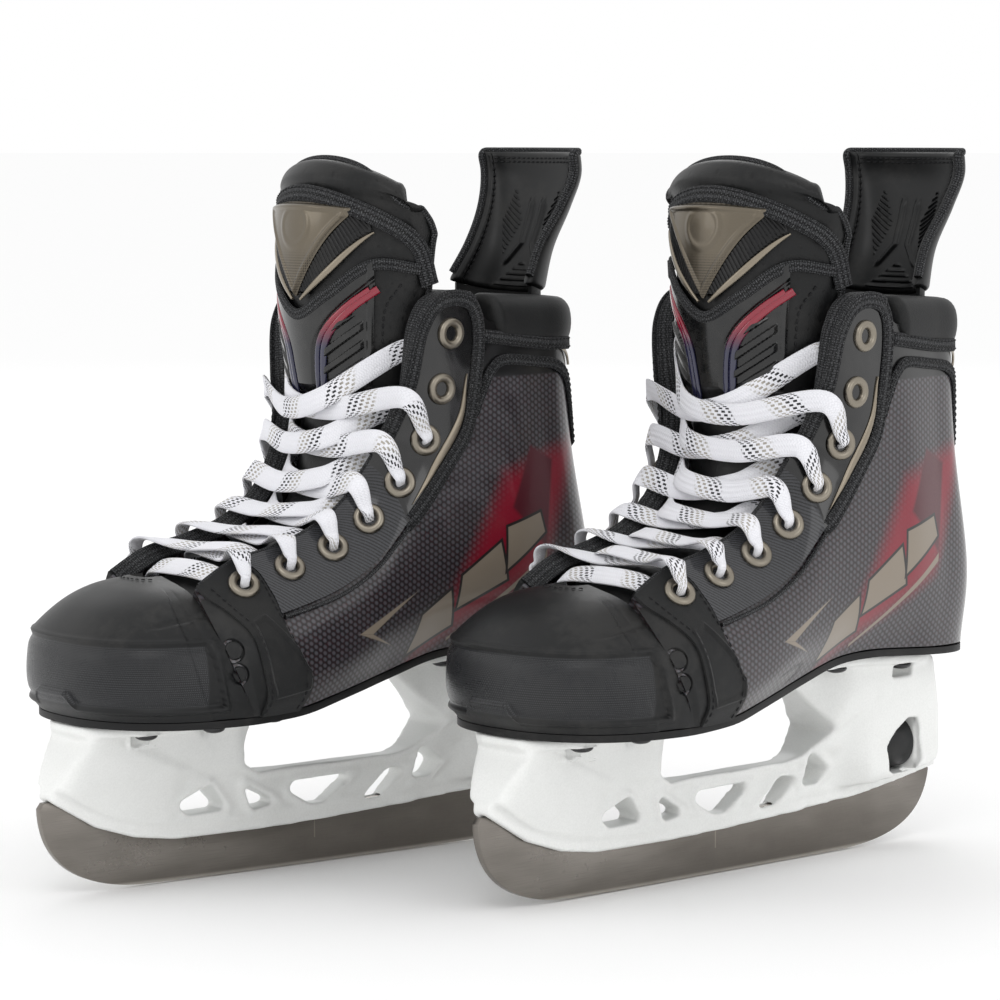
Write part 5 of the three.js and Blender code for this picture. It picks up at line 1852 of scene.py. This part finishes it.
        pair.add(self.eyelets(), "boot", nickel, ["eyelets_outer", "eyelets_inner"], "eyelet_metal")
        pair.add(self.collar(), "boot", PADDING, ["collar_pad"], "collar_leather", fill=0.8)
        trim = self.trim()
        for name, finish in (("bindings", BINDING), ("seams", THREAD), ("accents", TAUPE)):
            trim[name].name = name
            pair.add(trim[name], "boot", finish)


# ---------------------------------------------------------------- the tongue


@dataclass(frozen=True)
class TongueForm:
    """The tongue as a surface: t counts rows up its middle, side goes from -1 to 1."""

    # Middle line going up: y, height, half width, how far the sides lie behind the middle.
    rows: tuple = (
        (-63, 41, 22, 5), (-50, 50, 22, 5.5), (-35, 55, 21.5, 6), (-18, 60.5, 21.5, 7),
        (-5, 69.5, 22, 9), (1, 84, 24, 13), (2, 100, 28, 20), (-1, 120, 33, 27),
        (-4, 145, 36.5, 30), (-4, 170, 39, 31), (0, 186, 39.5, 26), (7, 194, 36, 15),
    )
    wrap: float = math.pi / 2.6

    def point(self, t: Array, side: Array, offset: Level = 0.0) -> Array:
        """Points on the tongue, or over it by an offset."""
        t, side = np.broadcast_arrays(np.asarray(t, float), np.asarray(side, float))
        t, side = t.ravel(), side.ravel()
        table = np.array(self.rows, float)
        last = len(table) - 1
        share = np.clip(t / last, 0, 1)
        row = spline(table, share)
        step = (
            spline(table, np.minimum(share + 0.002, 1))
            - spline(table, np.maximum(share - 0.002, 0))
        )
        up = unit(np.stack([np.zeros(len(t)), step[:, 0], step[:, 1]], 1))
        forward = np.stack([np.zeros(len(t)), up[:, 2], -up[:, 1]], 1)
        half, drop = (np.interp(t, np.arange(last + 1), table[:, k]) for k in (2, 3))
        bend = side * self.wrap
        fall = (1 - np.cos(bend)) / (1 - math.cos(self.wrap))
        slope = np.arctan2(drop * np.sin(bend), half * np.cos(bend))
        x = np.zeros((len(t), 3))
        x[:, 0] = 1
        middle = np.stack([np.zeros(len(t)), row[:, 0], FORM.stand + row[:, 1]], 1)
        outward = -forward * np.cos(slope)[:, None] + x * np.sin(slope)[:, None]
        return (
            middle + x * (
                half * np.sin(bend) / math.sin(self.wrap)
            )[:, None] + forward * (drop * fall)[:, None]
            + outward * np.asarray(offset, float).reshape(-1, 1)
        )

    def route(self, places: Points, count: int, offset: float) -> tuple[Array, Array]:
        """A path through (side, t) places, with its outward directions."""
        at = spline(np.array([(side, t, 0) for side, t in places], float), np.linspace(0, 1, count))
        path = self.point(at[:, 1], at[:, 0], np.full(count, offset))
        return path, unit(path - self.point(at[:, 1], at[:, 0], np.full(count, offset - 1)))


TONGUE = TongueForm()
HINGE = ((0, 0.5, 168.0), (0, 0.5, 180.0))


@dataclass(frozen=True)
class Tongue:
    """The padded tongue with its band, shield, wings, moulded guard, stripes and seams."""

    band: tuple = (
        (-1, 8.1), (-0.9, 8.72), (-0.67, 9.2), (-0.35, 9.5), (0, 9.62), (0.35, 9.5), (0.67, 9.2),
        (0.9, 8.72), (1, 8.1),
    )
    shield: tuple = ((8.0, 0.01), (9.2, 0.44), (9.36, 0.47), (9.42, 0.45))
    outer: tuple = ((8.0, 0.1), (8.45, 0.33), (8.95, 0.6), (9.15, 0.58), (9.36, 0.49))
    chevron: tuple = (
        (-0.93, 8.35), (-0.62, 8.42), (-0.3, 8.02), (0, 7.74), (0.3, 8.02), (0.62, 8.42),
        (0.93, 8.35),
    )
    rim: tuple = (
        (-1, 7.4), (-1, 8.6), (-0.98, 9.6), (-0.86, 10.35), (-0.5, 10.85), (0, 10.98), (0.5, 10.85),
        (0.86, 10.35), (0.98, 9.6), (1, 8.6), (1, 7.4),
    )
    # (side, t) places on the outer half of the tongue, mirrored for the inner half.
    vee: tuple = ((0.05, 7.95), (0.34, 8.4), (0.62, 8.93))
    stripe: tuple = (
        (0.19, 6.45), (0.2, 7.0), (0.235, 7.35), (0.33, 7.6), (0.5, 7.88), (0.64, 8.08),
    )
    edge: tuple = ((0.7, 6.9), (0.7, 7.4), (0.72, 7.8), (0.82, 8.15))

    def body(self) -> Piece:
        """The soft tongue, thick and round at its rim."""
        across, through = rounded(120, 14, 2.4)
        rings = []
        for t in np.linspace(0, 11, 190):
            close = math.sqrt(max(1 - max((t - 10.5) / 0.5, 0) ** 2, 0.004))
            pad = 2.2 * ease(9.7, 10.1, t) * close
            side = across * (0.995 * (0.9 + 0.1 * close))
            rim = 1.7 * ease(0.80, 0.9, np.abs(side)) * ease(7.6, 8.8, t)
            low_rim = 1.2 * ease(0.9, 0.97, np.abs(side)) * ease(6.7, 7.2, t)
            offset = (
                -3.5 + through * 3.45 * close
                + (pad + np.maximum(rim, low_rim)) * (through > 0) * through
            )
            rings.append(TONGUE.point(np.full(120, t), side, offset))
        return smooth(loft_rings("tongue", np.array(rings), 170), 60)

    def badge(self) -> Piece:
        """The shield: an inverted triangle with a bevelled rim and a hollow face."""
        def place(u: Array, v: Array) -> Array:
            t = 8.0 + 1.42 * v
            half = read_straight(self.shield, t)
            edge = np.minimum(np.minimum(u, 1 - u) * half * 2 * 42, (1 - v) * 23)
            height = 2.2 + 1.5 * ease(0, 1.5, edge) - 0.6 * ease(1.7, 3.0, edge)
            ring = np.abs(np.hypot((2 * u - 1) * half * 60, (t - 9.0) * 26) - 8.5)
            return TONGUE.point(
                t, (2 * u - 1) * half, height + 0.25 * ease(2.2, 0, ring) * ease(2, 4, edge),
            )

        obj = sheet("tongue_badge", 80, 90, place, (36, 34), thick=0.9)
        return smooth(obj, 40)

    def wings(self) -> Piece:
        """The ribbed fields beside the shield."""
        def place(u: Array, v: Array) -> Array:
            t = 8.06 + 1.28 * v
            inner, outer = read_straight(self.shield, t) - 0.01, read_straight(self.outer, t)
            side = inner + (outer - inner) * u
            ribs = np.abs(np.sin(math.pi * (side * 30 + t * 9)))
            return TONGUE.point(t, side, 1.5 + 0.5 * ribs * ease(0, 0.08, u) * ease(1, 0.92, u))

        obj = sheet("badge_wings", 70, 150, place, (20, 30), thick=2.0)
        return both(smooth(obj, 50))

    def guard(self) -> Piece:
        """The moulded guard: a raised stem, channels for the stripes, and slanted ribs."""
        def stripe(t: Array) -> Array:
            return read_table(
                (
                    (6.0, 0.19), (7.0, 0.2), (7.35, 0.23), (7.6, 0.32), (7.9, 0.49), (8.2, 0.68),
                    (8.6, 0.9),
                ),
                t,
            )

        def place(u: Array, v: Array) -> Array:
            side = (2 * u - 1) * 0.64
            far = np.abs(side)
            top = 7.70 + 1.22 * far
            t = 6.15 + (top - 6.15) * v
            line = stripe(t)
            stem = ease(0.0, 0.03, line - 0.06 - far)
            channel = ease(0.05, 0.03, np.abs(far - line))
            above = ease(0.03, 0.06, far - line)
            wave = np.sin(2 * math.pi * (t * 3.8 - far * 4.4))
            ribs = above * ease(0.58, 0.54, far) * ease(7.75, 7.6, t) * ease(-0.1, 0.45, wave)
            height = 1.5 + 0.9 * stem - 0.5 * channel + 1.7 * ribs
            height += 0.7 * ease(0.06, 0.03, 0.64 - far) * ease(0.64, 0.62, far)
            height = np.minimum(height, 0.75 + 3.0 * ease(6.5, 6.9, t))
            return TONGUE.point(t, side, height)

        obj = sheet("tongue_guard", 180, 170, place, (60, 60), thick=0.6)
        return smooth(obj, 50)

    def make(self, pair: Pair) -> None:
        """Makes and delivers every piece of the tongue."""
        leather = Dotted(
            "tongue_leather", "0d0e0f", 0.42, grain=1900.0, pebble=1.0, bump=0.25, depth=0.00015,
            pitch=5.2, radius=0.1, low=170.0, high=171.0,
        )
        metal = Dotted(
            "badge_metal", "6b6356", 0.3, metallic=0.9, coat=0.3, bump=0.2, wear=0.5,
            pitch=1.1, radius=0.3, dot="3f3a34", low=9.0, high=16.0,
        )
        moulded = Finish(
            "guard_plastic", "0c0d0e", 0.24, coat=0.5, grain=1500.0, bump=0.06, wear=0.45,
        )
        ribbed = Finish("wing_rubber", "0a0a0b", 0.35, grain=1800.0, wear=0.4)
        crimson = Striped("crimson_stripe", "860526", 0.16, coat=1.0, bump=0.02, wear=0.2)
        bend = ("tongue_top", *HINGE)
        pair.add(
            self.body(),
            "boot",
            leather,
            ["tongue_lower", "tongue_upper"],
            "tongue_leather",
            0.7,
            bend,
        )
        pair.add(self.badge(), "tongue_top", metal, ["tongue_badge"], "badge_metal")
        pair.add(self.wings(), "tongue_top", ribbed)
        pair.add(self.guard(), "boot", moulded, ["tongue_guard"], "black_plastic", None, bend)
        path, out = TONGUE.route(self.band, 160, 1.6)
        band = [ribbon("tongue_band", path, out, 6.4, 0.9, 3.4)]
        across = unit(np.cross(unit(np.gradient(path, axis=0)), out))
        seams = [
            stitches("seam", path + across * k + out * 0.8, out, 2.5, 1.7, 0.3) for k in (2.1, -2.1)
        ]
        low, look = TONGUE.route(self.chevron, 120, 1.9)
        band.append(ribbon("tongue_vee", low, look, 4.2, 0.9, 3.0))
        rim, face = TONGUE.route(self.rim, 200, -0.2)
        band.append(ribbon("tongue_piping", rim, face, 2.2, 1.0, 2.2))
        pair.add(join(band), "tongue_top", BINDING)
        accents, glow, side_seams = [], [], []
        for sign in (1, -1):
            vee, look = TONGUE.route([(side * sign, t) for side, t in self.vee], 60, 1.9)
            accents.append(
                ribbon("vee", vee, look, 2.6 * np.sin(np.linspace(0.25, 3.0, 60)) ** 0.7, 0.6, 2.2)
            )
            for shift, width in ((0.028, 2.3), (-0.03, 1.7)):
                places = [((side + shift) * sign, t) for side, t in self.stripe]
                line, look = TONGUE.route(places, 110, 2.0)
                glow.append(ribbon("glow", line, look, width * 1.3, 0.85, 2.0))
            edge, look = TONGUE.route([(side * sign, t) for side, t in self.edge], 70, 0.3)
            side_seams.append(stitches("seam", edge, look, 2.6, 1.8, 0.3))
        pair.add(join(accents), "tongue_top", TAUPE)
        pair.add(join([*seams, *side_seams]), "tongue_top", THREAD)
        glow_piece = join(glow)
        glow_piece.name = "guard_stripes"
        pair.add(glow_piece, "boot", crimson, bend=bend)


# ---------------------------------------------------------------- the tendon guard and the lace


@dataclass(frozen=True)
class TendonGuard:
    """The guard behind the ankle, with ridges on its front face."""

    form: tuple = (
        (0, 25, 80, 98.5), (0.3, 22.5, 88, 103), (0.6, 25, 96, 108.5), (0.85, 28, 99.5, 111),
        (1, 28.5, 98.5, 110),
    )
    rim: tuple = (
        (-1, 0.06), (-1, 0.3), (-1, 0.6), (-1, 0.85), (-0.97, 0.985), (-0.6, 1.0), (0, 1.0),
        (0.6, 1.0), (0.97, 0.985), (1, 0.85), (1, 0.6), (1, 0.3), (1, 0.06),
    )  # (side, share) places of the piping
    foot: float = 203.7
    raised: float = 4.0
    height: float = 52.0
    wall: float = 5.0

    def point(self, side: Array, share: Array, offset: Array) -> Array:
        """Points on the guard."""
        table = np.array(self.form, float)
        half, edge, middle = (read_table(table[:, (0, k)], share) for k in (1, 2, 3))
        angle = side * math.pi / 2
        start = self.foot + self.raised * side**2
        return np.stack([
            (half + offset * np.abs(np.sin(angle))) * np.sin(angle),
            edge + (middle - edge) * np.cos(angle) + offset * np.cos(angle),
            start + (self.height - self.raised * side**2) * share,
        ], 1)

    def ridges(self, side: Array, share: Array) -> Array:
        """Height of the ridges on the front face: two diamond fields, a Y, and bars below."""
        across = np.abs(side) * 30
        z = share * self.height
        diamond = 1 - np.abs(across - 11) / 5.5 - np.abs(z - 26) / 13
        waves = np.maximum(np.sin(2 * math.pi * (z - across * 0.55) / 1.9), 0)
        arm = np.abs(across - (2.6 + np.maximum(18 - z, 0) * 0.75))
        stem = ease(1.3, 0.4, arm) * ease(9, 12, z) * ease(36, 32, z)
        bars = ease(0, 1, 12 - z - across * 0.85) * np.maximum(np.sin(2 * math.pi * z / 2.0), 0)
        border = 0.5 * ease(0.5, 0.1, np.abs(np.abs(side) - 0.86) * 36)
        return (
            0.9 * waves * ease(0, 0.12, diamond) + 1.2 * stem + 0.8 * bars * ease(1, 3, z) - border
        )

    def make(self, pair: Pair) -> None:
        """Makes and delivers the guard, its piping and its stitched border."""
        across, through = rounded(520, 30, 2.4)
        rings = []
        for row in np.linspace(0, 1, 150):
            edge = min(row, 1 - row) / 0.04
            close = math.sqrt(max(1 - max(1 - edge, 0) ** 2, 0.003))
            offset = -self.wall / 2 + through * self.wall / 2 * close
            inner = np.maximum(-through, 0) ** 2
            share = np.full(len(across), row)
            rings.append(
                self.point(across, share, offset - inner * close * self.ridges(across, share))
            )
        body = smooth(loft_rings("tendon_guard", np.array(rings), 120), 60)
        plastic = Finish(
            "tendon_plastic", "0e0f10", 0.4, grain=2200.0, pebble=0.5, bump=0.12, wear=0.45,
        )
        pair.add(body, "tendon", plastic, ["tendon_guard"], "tendon_plastic")
        at = spline(np.array([(a, b, 0) for a, b in self.rim], float), np.linspace(0, 1, 220))
        a, b = at[:, 0], np.clip(at[:, 1], 0, 1)
        path = self.point(a, b, np.full(220, -1.2))
        out = unit(self.point(a, b, np.full(220, 1.0)) - path)
        gusset = lay_grid("tendon_gusset", 60, 16, lambda u, v: self.point(
            (1 - 2 * u) * 0.9, 0.1 * v - 0.1,
            np.full(len(u), -1.6)) - np.array([[0, 0, 5.5]]) * (1 - v)[:, None])
        finish_with(gusset, "SOLIDIFY", thickness=1.4, offset=-1)
        pair.add(
            smooth(gusset, 50), "boot", PADDING, bend=("tendon", (0, 101, 200.0), (0, 101, 206.0)),
        )
        piping = ribbon("tendon_piping", path, out, 3.0, 1.5, 2.4)
        pair.add(piping, "tendon", BINDING)
        seams = []
        for inset in (0.1, 0.155):
            a, b = at[:, 0] * (1 - inset), at[:, 1] * (1 - inset * 0.5)
            path = self.point(a, b, np.full(220, -self.wall))
            out = unit(path - self.point(a, b, np.zeros(220)))
            seams.append(stitches("tendon_seam", path + out * 0.1, out, 2.5, 1.7, 0.3))
        pair.add(join(seams), "tendon", THREAD)


@dataclass(frozen=True)
class Lacing:
    """One flat lace through the six lower pairs of eyelets."""

    wide: tuple[float, float] = (8.0, 1.3)
    folding: tuple[float, float] = (5.0, 1.8)
    narrow: tuple[float, float] = (3.5, 1.9)
    outside: float = 5.2
    inside: float = -7.7

    def beside(self, side: int, s: float, v: float, offset: float, size: tuple, face: int) -> Array:
        """A place on the lace beside the form: point, facing, half width and half thickness."""
        flip = np.array([side, 1, 1])
        return np.concatenate(
            [FORM.skin(s, v, offset)[0] * flip, FORM.out(s, v)[0] * flip * face, np.array(size) / 2]
        )

    def in_bore(self, side: int, k: int, offset: float, face: int) -> Array:
        """A place in an eyelet's bore."""
        s, v = EYELETS[k]
        up = unit(FORM.point(s, min(v + 0.05, 1)) - FORM.point(s, v - 0.05))[0]
        flip = np.array([side, 1, 1])
        return np.concatenate(
            [FORM.skin(s, v, offset)[0] * flip, up * flip * face, np.array(self.narrow) / 2]
        )

    def over(self, t: float, x: float, height: float, face: int) -> Array:
        """A place above the tongue."""
        point = TONGUE.point(t, 0.0, height)[0]
        out = TONGUE.point(t, 0.0, 1.0)[0] - TONGUE.point(t, 0.0, 0.0)[0]
        return np.concatenate([[x, point[1], point[2]], out * face, np.array(self.wide) / 2])

    def crossing(self, k: int, side: int, height: float, face: int) -> list[Array]:
        """Out through eyelet k, over the throat, and under the far edge to eyelet k + 1."""
        (s, v), (after, _) = EYELETS[k], EYELETS[k + 1]
        row = min(k + 1.35, 6.15)
        return [
            self.in_bore(side, k, self.inside, face),
            self.in_bore(side, k, self.outside - 1.3, face),
            self.beside(side, s + 0.06, v + 0.04, self.outside, self.folding, -face),
            self.beside(side, s + 0.12, 1, self.outside + 0.6, self.wide, -face),
            self.over(row + 0.12, 12 * side, height, -face),
            self.over(row + 0.35, -12 * side, height, -face),
            self.beside(-side, after - 0.2, 0.985, -7.2, self.wide, -face),
        ]

    def make(self, pair: Pair) -> None:
        """Makes and delivers the lace."""
        def strand(start: int, heights: Sequence[float]) -> list[Array]:
            places = []
            for k in range(LACED):
                turn = 1 if k % 2 == 0 else -1
                places += self.crossing(k, start * turn, heights[k], turn)
            return places

        first = [4.3, 2, 4.3, 2, 4.3, 2]
        toe = [self.over(0.75, 17, 2, 1), self.over(0.75, -17, 2, 1)]
        tucked = [self.beside(side, 7.6, 0.9, -8.5, self.wide, 1) for side in (1, -1)]
        second = [6.3 - h for h in first]
        places = np.array(
            [tucked[0], *strand(1, first)[::-1], *toe, *strand(-1, second), tucked[1]]
        )
        fine = spline(places, np.linspace(0, 1, 14 * len(places)))
        rings = cord_rings(fine[:, :3], fine[:, 3:6], fine[:, 6], fine[:, 7], 14, 3.0)
        obj = smooth(loft_rings("lace", rings, 17.0), 60)
        cloth = Laced(
            "lace_fabric",
            "f1f1f6",
            0.8,
            sheen=0.2,
            bump=0.6,
            depth=0.00025,
            wear=0.3,
            wear_colour="c6c6cc",
        )
        pair.add(obj, "boot", cloth, ["lace"], "lace_fabric")


# ---------------------------------------------------------------- studio


@dataclass(frozen=True)
class Studio:
    """A pale floor, soft light, and the camera at the view that the pair is shown from."""

    azimuth: float = 49.6
    elevation: float = 5.29
    distance: float = 1.419
    target: tuple[float, float, float] = (-0.0043, -0.0041, 0.1321)
    lens: float = 143.1
    sensor: float = 36.0

    def camera(self) -> None:
        """The camera, aimed at the pair."""
        a, e = math.radians(self.azimuth), math.radians(self.elevation)
        back = Vector((math.sin(a) * math.cos(e), -math.cos(a) * math.cos(e), math.sin(e)))
        data = bpy.data.cameras.new("camera")
        data.lens, data.sensor_width = self.lens, self.sensor
        data.clip_start, data.clip_end = 0.05, 50
        camera = bpy.data.objects.new("camera", data)
        camera.location = Vector(self.target) + back * self.distance
        camera.rotation_euler = (-back).to_track_quat("-Z", "Y").to_euler()
        bpy.context.scene.collection.objects.link(camera)
        bpy.context.scene.camera = camera

    def lamp(self, name: str, place: Sequence[float], size: float, power: float) -> None:
        """A soft square lamp that looks at the pair."""
        data = bpy.data.lights.new(name, "AREA")
        data.shape, data.size, data.energy = "SQUARE", size, power
        lamp = bpy.data.objects.new(name, data)
        lamp.location = place
        lamp.rotation_euler = (
            Vector((0, 0, 0.12)) - Vector(place)
        ).to_track_quat("-Z", "Y").to_euler()
        bpy.context.scene.collection.objects.link(lamp)

    def make(self) -> None:
        """Camera, lamps, surroundings and floor."""
        self.camera()
        self.lamp("key", (1.3, -1.5, 1.9), 0.9, 7)
        self.lamp("fill", (2.4, 0.4, 0.8), 1.0, 4)
        self.lamp("rim", (-1.6, 1.4, 1.6), 1.0, 6)
        self.lamp("front", (-1.2, -2.2, 0.9), 0.8, 3)
        world = bpy.data.worlds.new("studio")
        bpy.context.scene.world = world
        world.use_nodes = True
        sky = world.node_tree.nodes["Background"]
        sky.inputs["Color"].default_value = (1, 1, 1, 1)
        sky.inputs["Strength"].default_value = 1.0
        bpy.context.scene.view_settings.view_transform = "Standard"
        bpy.ops.object.select_all(action="DESELECT")
        bpy.ops.mesh.primitive_plane_add(size=120, location=(0, 0, -0.0004))
        floor = bpy.context.active_object
        floor.name = "floor"
        floor.data.materials.append(
            Finish("pale_floor", "ffffff", 0.9, gleam=0.0, wear=0.0, bump=0.0).material()
        )


def main() -> None:
    """Builds the pair, piece by piece."""
    logging.basicConfig(level=logging.INFO, format="%(name)s: %(message)s")
    Studio().make()
    pair = Pair()
    Undercarriage().make(pair)
    Boot().make(pair)
    Tongue().make(pair)
    TendonGuard().make(pair)
    Lacing().make(pair)
    LOG.info("%d pieces in all", pair.count)


if __name__ == "__main__":
    main()
